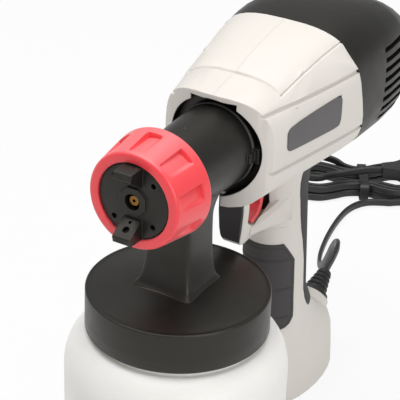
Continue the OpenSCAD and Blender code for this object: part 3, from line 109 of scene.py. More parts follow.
class SprayerNut(PropertyGroup):
    """Sizes of the cap nut's grip"""

    sectors: IntProperty(
        name="Pockets", description="Grip pockets round the nut", default=9, min=6, max=14)
    front_depth: FloatProperty(
        name="Front Depth", description="Depth of a pocket's floor at its front", default=0.0005,
        min=0, max=0.002, unit="LENGTH", subtype="DISTANCE")
    rear_depth: FloatProperty(
        name="Rear Depth", description="Depth of a pocket's floor at its rear", default=0.0024,
        min=0, max=0.003, unit="LENGTH", subtype="DISTANCE")
    ramp: FloatProperty(
        name="Ramp", description="Rise of the floor from a pocket's middle to its shallow side",
        default=0.0006, min=0, max=0.002, unit="LENGTH", subtype="DISTANCE")


class SprayerLead(PropertyGroup):
    """Sizes of the flat mains lead and its hank"""

    width: FloatProperty(
        name="Width", description="Width of the flat lead", default=0.0058, min=0.004, max=0.008,
        unit="LENGTH", subtype="DISTANCE")
    thickness: FloatProperty(
        name="Thickness", description="Thickness of the flat lead", default=0.0032,
        min=0.002, max=0.005, unit="LENGTH", subtype="DISTANCE")
    loops: IntProperty(
        name="Loops", description="Loops in the folded hank", default=6, min=2, max=8)
    lobe: FloatProperty(
        name="Lobe Radius", description="Inner radius of the hank's two round ends",
        default=0.0145, min=0.01, max=0.03, unit="LENGTH", subtype="DISTANCE")
    step: FloatProperty(
        name="Step", description="Distance from a loop to the next one", default=0.0042,
        min=0.0035, max=0.006, unit="LENGTH", subtype="DISTANCE")


class SprayerStage(PropertyGroup):
    """Camera and lights"""

    place: FloatVectorProperty(
        name="Camera", description="Place of the camera", subtype="TRANSLATION", unit="LENGTH",
        default=(0.3531, -0.5848, 0.5470))
    yaw: FloatProperty(
        name="Yaw", description="Turn of the camera round the object", subtype="ANGLE",
        default=math.radians(30.30))
    pitch: FloatProperty(
        name="Pitch", description="Height of the camera above the horizon", subtype="ANGLE",
        default=math.radians(27.99))
    roll: FloatProperty(
        name="Roll", description="Roll of the camera", subtype="ANGLE", default=math.radians(2.12))
    lens: FloatProperty(
        name="Lens", description="Focal length on a 36 mm sensor, in millimetres", default=134.33,
        min=20, max=300)
    overhead: FloatProperty(
        name="Overhead Lamp", description="Power of the large lamp above, in watts",
        default=26.5, min=0)
    side: FloatProperty(
        name="Side Lamp", description="Power of the lamp on the right, in watts",
        default=11.0, min=0)
    sky: FloatProperty(
        name="Room Light", description="Strength of the light from all round", default=0.40, min=0)


# ---------- node helpers ----------
class Signal:
    """A number in a node tree; Python's own sums and products of it make Math nodes."""

    def __init__(self, tree, socket):
        self.tree, self.socket = tree, socket

    def math(self, operation, other=None, swapped=False):
        node = add(self.tree, "ShaderNodeMath", operation=operation)
        for i, value in enumerate((other, self) if swapped else (self, other)):
            if isinstance(value, Signal):
                link(self.tree, (value, node, i))
            elif value is not None:
                node.inputs[i].default_value = value
        return Signal(self.tree, node.outputs[0])

    def __add__(self, other):
        return self.math("ADD", other)

    def __sub__(self, other):
        return self.math("SUBTRACT", other)

    def __rsub__(self, other):
        return self.math("SUBTRACT", other, swapped=True)

    def __mul__(self, other):
        return self.math("MULTIPLY", other)

    def __pow__(self, other):
        return self.math("POWER", other)

    def clamped(self):
        self.socket.node.use_clamp = True
        return self


def add(tree, kind, **settings):
    """A new node with its own settings."""
    node = tree.nodes.new(kind)
    for key, value in settings.items():
        setattr(node, key, value)
    return node


def fill(node, **values):
    """Sets a node's inputs, with an underscore for each space in their names."""
    for key, value in values.items():
        socket = node.inputs[key.replace("_", " ")]
        socket.default_value = (*value[:3], 1) if socket.type == "RGBA" else value
    return node


def link(tree, *runs):
    """Links, each written as (source, node, input) or (node, output, node, input)."""
    for *source, node, entry in runs:
        socket = source[0].outputs[source[1]] if len(source) == 2 else source[0]
        tree.links.new(getattr(socket, "socket", socket), node.inputs[entry])


def fresh_tree(name, kind, inputs, outputs):
    """A new group with its sockets: inputs as (name, type, default), outputs as (name, type)."""
    tree = bpy.data.node_groups.new(name, kind)
    for label, sort, value in inputs:
        socket = tree.interface.new_socket(label, in_out="INPUT", socket_type="NodeSocket" + sort)
        if value is not None:
            socket.default_value = value
    for label, sort in outputs:
        tree.interface.new_socket(label, in_out="OUTPUT", socket_type="NodeSocket" + sort)
    return tree, add(tree, "NodeGroupInput"), add(tree, "NodeGroupOutput")


def mixed(tree, factor, a, b):
    """Colour a going to colour b; returns the result's socket."""
    node = add(tree, "ShaderNodeMix", data_type="RGBA")
    for index, value in ((0, factor), (6, a), (7, b)):
        if isinstance(value, (Signal, bpy.types.NodeSocket)):
            link(tree, (value, node, index))
        else:
            node.inputs[index].default_value = (*value[:3], 1) if index else value
    return node.outputs[2]


def axes_of(tree, vector):
    """The three parts of a vector."""
    split = add(tree, "ShaderNodeSeparateXYZ")
    link(tree, (vector, split, 0))
    return [Signal(tree, part) for part in split.outputs]


def noise(tree, place, **values):
    """Noise at a place."""
    node = fill(add(tree, "ShaderNodeTexNoise"), **values)
    link(tree, (place, node, "Vector"))
    return Signal(tree, node.outputs["Fac"])


def brightened(tree, colour, value, out):
    """Sends a colour, multiplied by a value, to a group's Colour output."""
    node = add(tree, "ShaderNodeHueSaturation")
    link(tree, (value, node, "Value"), (colour, node, "Color"), (node, 0, out, "Colour"))


# ---------- shader groups ----------
def make_moulded_grain():
    """Spark-eroded texture of a moulding: tint and gloss that wander, and fine grain as height."""
    group, given, out = fresh_tree(
        "moulded_grain", "ShaderNodeTree",
        [("Vector", "Vector", None), ("Colour", "Color", (0.5, 0.5, 0.5, 1)),
         ("Tint Spread", "Float", 0.1), ("Grain Scale", "Float", 1500.0),
         ("Roughness", "Float", 0.5), ("Roughness Spread", "Float", 0.1)],
        [("Colour", "Color"), ("Roughness", "Float"), ("Height", "Float")])
    place = given.outputs["Vector"]
    cloud = noise(group, place, Scale=38.0, Detail=3.0)
    fine = noise(group, place, Detail=2.0)
    smear = noise(group, place, Scale=140.0, Detail=4.0)
    shift = (cloud - 0.5 + (fine - 0.5) * 0.5) * Signal(group, given.outputs["Tint Spread"])
    brightened(group, given.outputs["Colour"], shift + 1.0, out)
    drift = (smear - 0.5) * Signal(group, given.outputs["Roughness Spread"])
    gloss = (Signal(group, given.outputs["Roughness"]) + drift).clamped()
    link(group, (given, "Grain Scale", fine.socket.node, "Scale"), (gloss, out, "Roughness"),
         (fine, out, "Height"))


def make_edge_wear_and_highlight():
    """Mask of edges lightened partly as rubbed wear and partly as a painted highlight, and the
    normal of a softly rounded edge.
    """
    group, given, out = fresh_tree(
        "edge_wear_and_highlight", "ShaderNodeTree",
        [("Vector", "Vector", None), ("Radius", "Float", 0.0006), ("Patchiness", "Float", 0.6)],
        [("Mask", "Float"), ("Normal", "Vector")])
    soft = add(group, "ShaderNodeBevel", samples=4)
    surface = add(group, "ShaderNodeNewGeometry")
    dot = add(group, "ShaderNodeVectorMath", operation="DOT_PRODUCT")
    link(group, (given, "Radius", soft, "Radius"), (soft, 0, dot, 0), (surface, "Normal", dot, 1),
         (soft, 0, out, "Normal"))
    patches = noise(group, given.outputs["Vector"], Scale=220.0, Detail=3.0)
    bend = ((1.0 - Signal(group, dot.outputs["Value"])) * 5.0).clamped()
    gaps = 1.0 - patches * Signal(group, given.outputs["Patchiness"])
    link(group, ((bend * gaps).clamped(), out, "Mask"))


def make_settled_dust_and_sheen():
    """Mask of fine dust that lies on faces that look up; spread evenly, it is a painted sheen on
    those faces.
    """
    group, given, out = fresh_tree(
        "settled_dust_and_sheen", "ShaderNodeTree",
        [("Vector", "Vector", None), ("Amount", "Float", 0.3), ("Evenness", "Float", 0.0)],
        [("Mask", "Float")])
    surface = add(group, "ShaderNodeNewGeometry")
    motes = noise(group, given.outputs["Vector"], Scale=700.0, Detail=5.0, Roughness=0.7)
    upward = axes_of(group, surface.outputs["Normal"])[2].math("MAXIMUM", 0.0) ** 3.0
    specks = ((motes - 0.42) * 4.0).clamped()
    thick = Signal(group, given.outputs["Evenness"]).math("MAXIMUM", specks)
    amount = Signal(group, given.outputs["Amount"])
    link(group, ((upward * thick * amount).clamped(), out, "Mask"))


def make_turned_lines():
    """Fine tool marks round the Y axis, as height, with a brightness that follows them."""
    group, given, out = fresh_tree(
        "turned_lines", "ShaderNodeTree",
        [("Vector", "Vector", None), ("Colour", "Color", (0.6, 0.6, 0.6, 1)),
         ("Pitch", "Float", 9000.0)],
        [("Colour", "Color"), ("Height", "Float")])
    x, y, z = axes_of(group, given.outputs["Vector"])
    radius = (x ** 2.0 + (z - AXIS_Z) ** 2.0) ** 0.5
    line = fill(add(group, "ShaderNodeTexNoise", noise_dimensions="1D"), Detail=2.0)
    link(group, (radius + y, line, "W"), (given, "Pitch", line, "Scale"),
         (line, "Fac", out, "Height"))
    value = Signal(group, line.outputs["Fac"]) * 0.3 + 0.85
    brightened(group, given.outputs["Colour"], value, out)


GROUP_MAKERS = {"moulded_grain": make_moulded_grain, "edge_wear_and_highlight": make_edge_wear_and_highlight,
                "settled_dust_and_sheen": make_settled_dust_and_sheen, "turned_lines": make_turned_lines}


def placed(tree, name, place, **values):
    """A shader group placed in a material at a place, with its own values."""
    if name not in bpy.data.node_groups:
        GROUP_MAKERS[name]()
    node = add(tree, "ShaderNodeGroup", node_tree=bpy.data.node_groups[name])
    link(tree, (place, node, "Vector"))
    return fill(node, **values)


# ---------- materials ----------
EDGE_WEAR_AND_HIGHLIGHT_RADIUS = 0.6 * MM
# The body's curved front face: its foremost depth and its radius
BROW_Y, BROW_R = 27.9 * MM, 67 * MM
# Its mouth: the reach from the barrel's axis, the ceiling above it, and where the painted shade on
# # the walls inside it begins behind the face and ends
MOUTH_REACH, MOUTH_CEILING, MOUTH_LIP, MOUTH_END = 31.6 * MM, 27.9 * MM, 0.9 * MM, 46 * MM
# Colour of the painted shade on the walls inside the mouth
MOUTH_PAINTED_SHADE = (0.012, 0.012, 0.011)
WARM_GLINT = (1.0, 0.95, 0.86)


def new_material(name):
    """An empty material with its Principled shader and Object coordinates."""
    material = bpy.data.materials.new(name)
    material.use_nodes = True
    tree = material.node_tree
    tree.nodes.clear()
    shader = add(tree, "ShaderNodeBsdfPrincipled")
    link(tree, (shader, 0, add(tree, "ShaderNodeOutputMaterial"), "Surface"))
    return material, tree, shader, add(tree, "ShaderNodeTexCoord").outputs["Object"]


def raised_skin(tree, shader, height, strength, depth):
    """A Bump node from a height to the shader's normal."""
    bump = fill(add(tree, "ShaderNodeBump"), Strength=strength, Distance=depth)
    link(tree, (height, bump, "Height"), (bump, 0, shader, "Normal"))
    return bump


def mouth_shade_mask(tree, place):
    """Mask of painted shade: a shell's inner walls behind the edge of its mouth, round the barrel's
    axis.
    """
    x, y, z = axes_of(tree, place)
    across = x.math("ABSOLUTE") ** 2.0
    rise = (z - AXIS_Z).math("ABSOLUTE") ** 2.0
    near = ((across + rise).math("LESS_THAN", MOUTH_REACH * MOUTH_REACH)
            * z.math("LESS_THAN", AXIS_Z + MOUTH_CEILING))
    face = across * (0.5 / BROW_R) + (BROW_Y + MOUTH_LIP)
    return near * ((y - face).math("GREATER_THAN", 0.0) * y.math("LESS_THAN", MOUTH_END))


def moulded(name, colour, roughness, grain=1500.0, depth=0.00003, tint=0.1, spread=0.12,
            edge=0.15, edge_wear_and_highlight_colour=None, dust=0.0, dust_colour=(0.45, 0.44, 0.42), even=0.0,
            mouth=False, **shine):
    """A moulded plastic or rubber: grain, wandering gloss, edges lightened partly by rubbed wear
    and partly as a painted highlight, settled dust that, spread evenly, is a painted sheen on
    upward faces, and where asked painted shade on the walls inside a shell's mouth.
    """
    material, tree, shader, place = new_material(name)
    skin = placed(tree, "moulded_grain", place, Colour=colour, Tint_Spread=tint,
                  Grain_Scale=grain, Roughness=roughness, Roughness_Spread=spread)
    wear_and_highlight = placed(tree, "edge_wear_and_highlight", place, Radius=EDGE_WEAR_AND_HIGHLIGHT_RADIUS)
    # Edges lightened: partly rubbed wear, partly a painted highlight along them
    surface = mixed(tree, Signal(tree, wear_and_highlight.outputs["Mask"]) * edge, skin.outputs["Colour"],
                    edge_wear_and_highlight_colour or [min(1.0, c * 1.35 + 0.02) for c in colour])
    if dust:
        dust_and_sheen_mask = placed(tree, "settled_dust_and_sheen", place, Amount=dust, Evenness=even)
        surface = mixed(tree, dust_and_sheen_mask.outputs["Mask"], surface, dust_colour)
    # Painted shade: a shell's walls inside its mouth go near black, where the cavity lies in shade
    if mouth:
        surface = mixed(tree, mouth_shade_mask(tree, place), surface, MOUTH_PAINTED_SHADE)
    bump = raised_skin(tree, shader, skin.outputs["Height"], 0.5, depth)
    link(tree, (surface, shader, "Base Color"), (skin, "Roughness", shader, "Roughness"),
         (wear_and_highlight, "Normal", bump, "Normal"))
    fill(shader, Coat_Roughness=0.25, Sheen_Roughness=0.4, **shine)
    return material


def metal(name, colour, roughness):
    """A turned or drawn metal with its tool marks."""
    material, tree, shader, place = new_material(name)
    marks = placed(tree, "turned_lines", place, Colour=colour, Pitch=9000.0)
    skin = placed(tree, "moulded_grain", place, Tint_Spread=0.15, Grain_Scale=900.0,
                  Roughness=roughness, Roughness_Spread=0.25)
    raised_skin(tree, shader, marks.outputs["Height"], 0.35, 0.01 * MM)
    link(tree, (marks, "Colour", skin, "Colour"), (skin, "Colour", shader, "Base Color"),
         (skin, "Roughness", shader, "Roughness"))
    fill(shader, Metallic=1.0)
    return material


def wound(name, colour, pitch, roughness, metallic):
    """Layers that repeat closely, such as enamelled wire or stacked steel sheets."""
    material, tree, shader, place = new_material(name)
    skin = placed(tree, "moulded_grain", place, Colour=colour, Tint_Spread=0.3,
                  Grain_Scale=700.0, Roughness=roughness, Roughness_Spread=0.2)
    layers = fill(add(tree, "ShaderNodeTexWave", bands_direction="Y"), Scale=pitch,
                  Distortion=0.6, Detail_Scale=2.0)
    raised_skin(tree, shader, layers.outputs["Fac"], 0.7, 0.2 * MM)
    # Painted shade: the grooves between the layers are darkened
    half = Signal(tree, layers.outputs["Fac"]) * 0.5
    groove = mixed(tree, half, [c * 0.35 for c in colour], skin.outputs["Colour"])
    link(tree, (place, layers, "Vector"), (skin, "Roughness", shader, "Roughness"),
         (mixed(tree, 0.6, groove, skin.outputs["Colour"]), shader, "Base Color"))
    fill(shader, Metallic=metallic)
    return material


def milky(name, colour, roughness, through, scatter=0.0):
    """A translucent moulding: light passes into it, and its gloss wanders a little."""
    material, tree, shader, place = new_material(name)
    skin = placed(tree, "moulded_grain", place, Colour=colour, Tint_Spread=0.05,
                  Grain_Scale=420.0, Roughness=roughness, Roughness_Spread=0.12)
    raised_skin(tree, shader, skin.outputs["Height"], 0.3, 0.02 * MM)
    link(tree, (skin, "Colour", shader, "Base Color"), (skin, "Roughness", shader, "Roughness"))
    fill(shader, Transmission_Weight=through, IOR=1.45, Subsurface_Weight=scatter,
         Subsurface_Radius=(0.006, 0.005, 0.004), Subsurface_Scale=1.0)
    return material


def finish_table(look):
    """Maker, name, values and named values of each kind of surface."""
    warm = {"Specular_Tint": WARM_GLINT}
    return {
        "shell": (moulded, "spark_textured_shell", (look.shell, 0.52, look.grain, 4e-5, 0.035, 0.1),
                  dict(edge=0.35, edge_wear_and_highlight_colour=(0.80, 0.77, 0.73), dust=0.05,
                       dust_colour=(0.5, 0.48, 0.45), mouth=True)),
        # On the black mouldings and the rubber the lightened edges stand partly for rubbed wear and
        # partly for a painted highlight along their rims
        "black": (moulded, "satin_black_moulding", (look.black, 0.40, look.grain, 3e-5, 0.25, 0.16),
                  dict(edge=0.4, edge_wear_and_highlight_colour=(0.085, 0.082, 0.072), dust=0.012,
                       Specular_IOR_Level=0.48, **warm)),
        "cap": (moulded, "fine_black_moulding", (look.black, 0.43, 2400.0, 2e-5, 0.3, 0.15),
                dict(edge=0.5, edge_wear_and_highlight_colour=(0.09, 0.088, 0.08), dust=0.012,
                     Specular_IOR_Level=0.4, **warm)),
        # Painted sheen: on the red moulding the even upward-facing mask lightens every top face to
        # pink, and its lighter edges are partly a painted highlight
        "red": (moulded, "red_moulding", (look.red, 0.36, 1900.0, 2e-5, 0.06, 0.12),
                dict(edge=0.28, edge_wear_and_highlight_colour=(0.90, 0.16, 0.17), dust=0.30, even=0.85,
                     dust_colour=(0.86, 0.48, 0.49), Coat_Weight=0.3, Sheen_Weight=0.22)),
        "rubber": (moulded, "grip_rubber", (look.rubber, 0.62, 1100.0, 5e-5, 0.22, 0.14),
                   dict(edge=0.4, edge_wear_and_highlight_colour=(0.075, 0.073, 0.068), dust=0.03,
                        Specular_IOR_Level=0.38, **warm)),
        "label": (moulded, "bare_label_plate", (look.label, 0.42, 2600.0, 1e-5, 0.08, 0.10),
                  dict(edge=0.3, edge_wear_and_highlight_colour=(0.20, 0.19, 0.19), dust=0.04)),
        "lead": (moulded, "lead_sheath", (look.lead, 0.44, 1300.0, 2e-5, 0.3, 0.2),
                 dict(edge=0.2, dust=0.06)),
        "foam": (moulded, "filter_foam", ((0.05, 0.05, 0.052), 0.9, 800.0, 6e-4, 0.8),
                 dict(edge=0.0)),
        "fan": (moulded, "glass_filled_moulding", ((0.20, 0.20, 0.195), 0.55, 1600.0, 5e-5, 0.25)),
        "carbon": (moulded, "pressed_carbon", ((0.035, 0.035, 0.036), 0.7, 2600.0, 6e-5, 0.5)),
        "nylon": (moulded, "natural_nylon", ((0.70, 0.67, 0.58), 0.4, 1500.0, 3e-5, 0.08)),
        "valve": (moulded, "white_silicone", ((0.75, 0.75, 0.73), 0.5, 1500.0, 2e-5, 0.05)),
        "wire": (moulded, "wire_sleeve", ((0.05, 0.16, 0.42), 0.4, 1500.0, 2e-5, 0.1)),
        "brass": (metal, "turned_brass", ((0.26, 0.13, 0.035), 0.42)),
        "steel": (metal, "bright_steel", ((0.55, 0.56, 0.57), 0.30)),
        "chrome": (metal, "ground_steel", ((0.66, 0.66, 0.67), 0.18)),
        "nickel": (metal, "plated_pin", ((0.62, 0.60, 0.56), 0.22)),
        "stack": (wound, "stacked_laminations", ((0.26, 0.26, 0.27), 320.0, 0.4, 0.8)),
        "copper": (wound, "enamelled_copper", ((0.62, 0.24, 0.09), 420.0, 0.3, 0.6)),
        "jar": (milky, "milky_jar", (look.jar, 0.34, 0.15, 0.35)),
        "tube": (milky, "clear_tube", ((0.88, 0.88, 0.85), 0.15, 0.75)),
    }


def finish_of(key):
    """The material for a kind of surface, made on its first use."""
    maker, name, values, *named = finish_table(bpy.context.scene.sprayer_finish)[key]
    return bpy.data.materials.get(name) or maker(name, *values, **(named[0] if named else {}))


# The nodes inside that keep their CAD shapes, by what they are made of
INNER_NODES = {
    "rubber": ("lid_gasket", "head_seal", "duct_seal", "motor_rings"),
    "black": ("fluid_body", "switch_body", "fan_shroud"),
    "fan": ("switch_button", "air_duct", "fan", "cord_clamp"),
    "tube": ("suction_tube",), "valve": ("check_valve",), "wire": ("lead_wires",),
    "brass": ("fluid_nozzle", "packing_nut"), "steel": ("trigger_pins", "fan_nut"),
    "chrome": ("needle", "front_bearing", "rear_bearing"), "stack": ("motor_field", "armature"),
    "copper": ("field_windings", "armature_windings"), "nylon": ("motor_frame",),
    "carbon": ("carbon_brushes",),
}


# ---------- mesh helpers ----------
def scene_object(name, data):
    """A new object in the scene."""
    made = bpy.data.objects.new(name, data)
    bpy.context.scene.collection.objects.link(made)
    return made


def new_piece(name, mesh, body, key, *nodes):
    """A finished piece: its mesh, its finish, the body it rides on and the nodes it stands for."""
    piece = scene_object(name, mesh)
    mesh.materials.clear()
    mesh.materials.append(finish_of(key))
    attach(piece, body)
    if nodes:
        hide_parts(*nodes)
    return piece


def rounded(piece, width, angle):
    """Rounds the edges of a piece that are sharper than the angle."""
    rounding = piece.modifiers.new("edge_rounding", "BEVEL")
    rounding.width = width
    rounding.segments = 2
    rounding.limit_method = "ANGLE"
    rounding.angle_limit = math.radians(angle)
    rounding.harden_normals = True
    return piece


def smooth_by_angle(mesh, degrees):
    """Smooth shading that keeps edges sharper than the angle."""
    mesh.shade_smooth()
    mesh.set_sharp_from_angle(angle=math.radians(degrees))


def plain_mesh(made, name):
    """A mesh from a bmesh, which is freed."""
    mesh = bpy.data.meshes.new(name)
    made.to_mesh(mesh)
    made.free()
    return mesh


def node_mesh(name, node):
    """One clean mesh from a copy of a CAD node, whose own mesh is loose triangles."""
    made = bmesh.new()
    made.from_mesh(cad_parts[node].data)
    bmesh.ops.remove_doubles(made, verts=made.verts, dist=2e-6)
    bmesh.ops.dissolve_limit(made, angle_limit=math.radians(0.7), verts=made.verts,
                             edges=made.edges)
    return plain_mesh(made, name)


def refined(name, key, body, node, bevel=0.4 * MM, angle=32):
    """A CAD piece with smooth faces and rounded edges."""
    mesh = node_mesh(name, node)
    smooth_by_angle(mesh, angle)
    piece = new_piece(name, mesh, body, key, node)
    return rounded(piece, bevel, angle + 2) if bevel else piece


def circle(count, offset=0.0):
    """Cosines and sines of equal steps round a circle."""
    angles = [2 * math.pi * (i + offset) / count for i in range(count)]
    return [(math.cos(a), math.sin(a)) for a in angles]


def power(value, exponent):
    """A power that keeps its sign; below 1 it squares a circle's corners."""
    return math.copysign(abs(value) ** exponent, value)


def skin_of(rings, closed=True):
    """Faces between rings of points that have the same count."""
    made = bmesh.new()
    rows = [[made.verts.new(p) for p in ring] for ring in rings]
    count = len(rows[0])
    for a, b in zip(rows, rows[1:]):
        for i in range(count if closed else count - 1):
            j = (i + 1) % count
            made.faces.new((a[i], a[j], b[j], b[i]))
    return made, rows


def capped(rings):
    """A closed bmesh from rings, each end filled with one face."""
    made, rows = skin_of(rings)
    made.faces.new(list(reversed(rows[0])))
    made.faces.new(rows[-1])
    return made


def turned_rings(profile, axis, segments=128):
    """Rings of (along, radius) turned round the lid's upright axis or the barrel's level one."""
    return [[(r * c, r * s, along) if axis == "Z" else (r * c, along, AXIS_Z + r * s)
             for c, s in circle(segments)] for along, r in profile]


def mesh_from(made, name, degrees=35):
    """A mesh from a bmesh whose doubles are merged and whose faces look outwards."""
    bmesh.ops.remove_doubles(made, verts=made.verts, dist=1e-6)
    bmesh.ops.recalc_face_normals(made, faces=made.faces)
    mesh = plain_mesh(made, name)
    smooth_by_angle(mesh, degrees)
    return mesh


def block(low, high):
    """A bmesh box between two corners."""
    made = bmesh.new()
    bmesh.ops.create_cube(made, size=1)
    for v in made.verts:
        v.co = [(low[i] + high[i]) / 2 + v.co[i] * (high[i] - low[i]) for i in range(3)]
    return made


def cone(matrix, radius1, radius2, depth, segments):
    """A bmesh rod or cone, placed by a matrix."""
    made = bmesh.new()
    bmesh.ops.create_cone(made, cap_ends=True, segments=segments, radius1=radius1,
                          radius2=radius2, depth=depth, matrix=matrix)
    return made


def drill(start, direction, radius, length, segments=32):
    """A bmesh rod from a point along a direction."""
    turn = Vector(direction).to_track_quat("Z", "Y").to_matrix().to_4x4()
    middle = Vector(start) + Vector(direction).normalized() * length / 2
    return cone(Matrix.Translation(middle) @ turn, radius, radius, length, segments)


def joined(name, parts):
    """One mesh from several closed bmeshes."""
    whole = bmesh.new()
    for part in parts:
        bmesh.ops.recalc_face_normals(part, faces=part.faces)
        piece = plain_mesh(part, "part")
        whole.from_mesh(piece)
        bpy.data.meshes.remove(piece)
    mesh = plain_mesh(whole, name)
    smooth_by_angle(mesh, 35)
    return mesh


def settled(host, name):
    """The plain mesh that an object's modifiers make; the object is removed."""
    graph = bpy.context.evaluated_depsgraph_get()
    mesh = bpy.data.meshes.new_from_object(host.evaluated_get(graph), depsgraph=graph)
    mesh.name = name
    bpy.data.objects.remove(host)
    return mesh


def carved(name, solids, cutters):
    """The union of closed bmeshes with others cut out of it, as a plain mesh."""
    host = scene_object(name, joined(name, solids[:1]))
    tools = []
    for operation, parts in (("UNION", solids[1:]), ("DIFFERENCE", cutters)):
        for part in parts:
            tools.append(scene_object(name + "_tool", joined(name + "_tool", [part])))
            step = host.modifiers.new("step", "BOOLEAN")
            step.operation, step.object, step.solver = operation, tools[-1], "EXACT"
    mesh = settled(host, name)
    for tool in tools:
        bpy.data.objects.remove(tool)
    smooth_by_angle(mesh, 35)
    return mesh


def ease(share):
    """0 to 1 with soft ends."""
    share = max(0.0, min(1.0, share))
    return share * share * (3 - 2 * share)


def read_at(rows, place, column=1):
    """Value of a table's column at a place, straight between its rows."""
    if place <= rows[0][0]:
        return rows[0][column]
    for a, b in zip(rows, rows[1:]):
        if place <= b[0]:
            return a[column] + (b[column] - a[column]) * (place - a[0]) / (b[0] - a[0])
    return rows[-1][column]


# ---------- geometry node helpers ----------
def geometry_tree(name, inputs):
    """A geometry tree with a shape coming in and out, and the given inputs."""
    return fresh_tree(name, "GeometryNodeTree",
                      [("Geometry", "Geometry", None), *inputs, ("Material", "Material", None)],
                      [("Geometry", "Geometry")])


def painted(tree, given, out, geometry):
    """Ends a tree in Set Material."""
    coat = add(tree, "GeometryNodeSetMaterial")
    link(tree, (geometry, 0, coat, "Geometry"), (given, "Material", coat, "Material"),
         (coat, 0, out, 0))
    return tree


def grown(tree, base, values, name):
    """Runs a geometry tree on a base mesh or curve, and returns the plain mesh that it makes."""
    host = scene_object(name + "_base", base)
    step = host.modifiers.new("build", "NODES")
    step.node_group = tree
    sockets = {s.name: s.identifier for s in tree.interface.items_tree if s.in_out == "INPUT"}
    for label, value in values.items():
        step[sockets[label]] = value
    return settled(host, name)


def make_ring_of_copies():
    """Copies of a part, each turned by its own step round the Y axis through a centre."""
    tree, given, out = geometry_tree("ring_of_copies", [
        ("Part", "Object", None), ("Count", "Int", 12), ("Centre", "Vector", (0, 0, 0)),
        ("Merge", "Float", 1e-5)])
    part = add(tree, "GeometryNodeObjectInfo", transform_space="RELATIVE")
    points = add(tree, "GeometryNodePoints")
    copies = add(tree, "GeometryNodeInstanceOnPoints")
    angle = add(tree, "ShaderNodeCombineXYZ")
    real = add(tree, "GeometryNodeRealizeInstances")
    weld = add(tree, "GeometryNodeMergeByDistance")
    move = add(tree, "GeometryNodeTransform")
    step = Signal(tree, given.outputs["Count"]).math("DIVIDE", 2 * math.pi, swapped=True)
    turn = step * Signal(tree, add(tree, "GeometryNodeInputIndex").outputs[0])
    link(tree, (given, "Part", part, "Object"), (given, "Count", points, "Count"),
         (points, 0, copies, "Points"), (part, "Geometry", copies, "Instance"),
         (turn, angle, "Y"), (angle, 0, copies, "Rotation"), (copies, 0, real, 0),
         (real, 0, weld, "Geometry"), (given, "Merge", weld, "Distance"),
         (weld, 0, move, "Geometry"), (given, "Centre", move, "Translation"))
    return painted(tree, given, out, move)


def make_swept_profile():
    """A closed profile swept along a curve: its first axis stays level, its second upright."""
    tree, given, out = geometry_tree("swept_profile", [("Profile", "Object", None)])
    upright = add(tree, "GeometryNodeSetCurveNormal", mode="Z_UP")
    outline = add(tree, "GeometryNodeObjectInfo", transform_space="RELATIVE")
    sweep = fill(add(tree, "GeometryNodeCurveToMesh"), Fill_Caps=True)
    real = add(tree, "GeometryNodeRealizeInstances")
    link(tree, (given, "Geometry", upright, "Curve"), (upright, 0, sweep, "Curve"),
         (given, "Profile", outline, "Object"), (outline, "Geometry", sweep, "Profile Curve"),
         (sweep, 0, real, 0))
    return painted(tree, given, out, real)


def polyline(name, points, closed=False):
    """A poly curve through points, as curve data."""
    curve = bpy.data.curves.new(name, "CURVE")
    curve.dimensions = "3D"
    line = curve.splines.new("POLY")
    line.points.add(len(points) - 1)
    for target, point in zip(line.points, points):
        target.co = (*point, 1)
    line.use_cyclic_u = closed
    return curve


# ---------- cap nut ----------
# Its bore, the seat behind its front wall, the step at its rear opening, and how much slimmer its
# front is
NUT_BORE, NUT_SEAT_R, NUT_STEP_R, NUT_TAPER = 20.7 * MM, 22.1 * MM, 23.6 * MM, 3.9 * MM
NUT_FRONT_EDGE, NUT_REAR_EDGE = 1.8 * MM, 1.4 * MM
# A grip pocket: where it begins and ends, how softly, and its half width as a share of half a
# sector
POCKET_FROM, POCKET_TO, POCKET_SOFT, POCKET_HALF = 3.2 * MM, 20.4 * MM, 0.6 * MM, 0.475
# Points across a sector and rows along the nut
NUT_ACROSS, NUT_ROWS = 64, 84


def soft_step(value, soft):
    """0 to 1 as value goes from -soft / 2 to soft / 2."""
    return ease(value / soft + 0.5)


def nut_radius(nut, along, turn):
    """Outer radius: along from 0 at the front to 1 at the rear, turn from -1 to 1 in a sector."""
    front_r = NUT_R - NUT_TAPER
    radius = front_r + (NUT_R - front_r) * along
    y = along * NUT_LENGTH
    for edge, size in ((y, NUT_FRONT_EDGE), ((1 - along) * NUT_LENGTH, NUT_REAR_EDGE)):
        if edge < size:
            radius -= size - math.sqrt(max(0, size * size - (size - edge) ** 2))
    # The floor is a ramp, deep on one side and at the rear
    share = max(0.0, min(1.0, (y - POCKET_FROM) / (POCKET_TO - POCKET_FROM)))
    floor = (nut.front_depth + (nut.rear_depth - nut.front_depth) * share
             - nut.ramp * turn / POCKET_HALF)
    rise = max(0.0, min(1.0, (POCKET_HALF - turn) / 0.2))
    inside = (soft_step(POCKET_HALF + turn, 0.045) * rise
              * soft_step(y - POCKET_FROM, POCKET_SOFT) * soft_step(POCKET_TO - y, POCKET_SOFT))
    return radius - max(0.0, floor) * inside


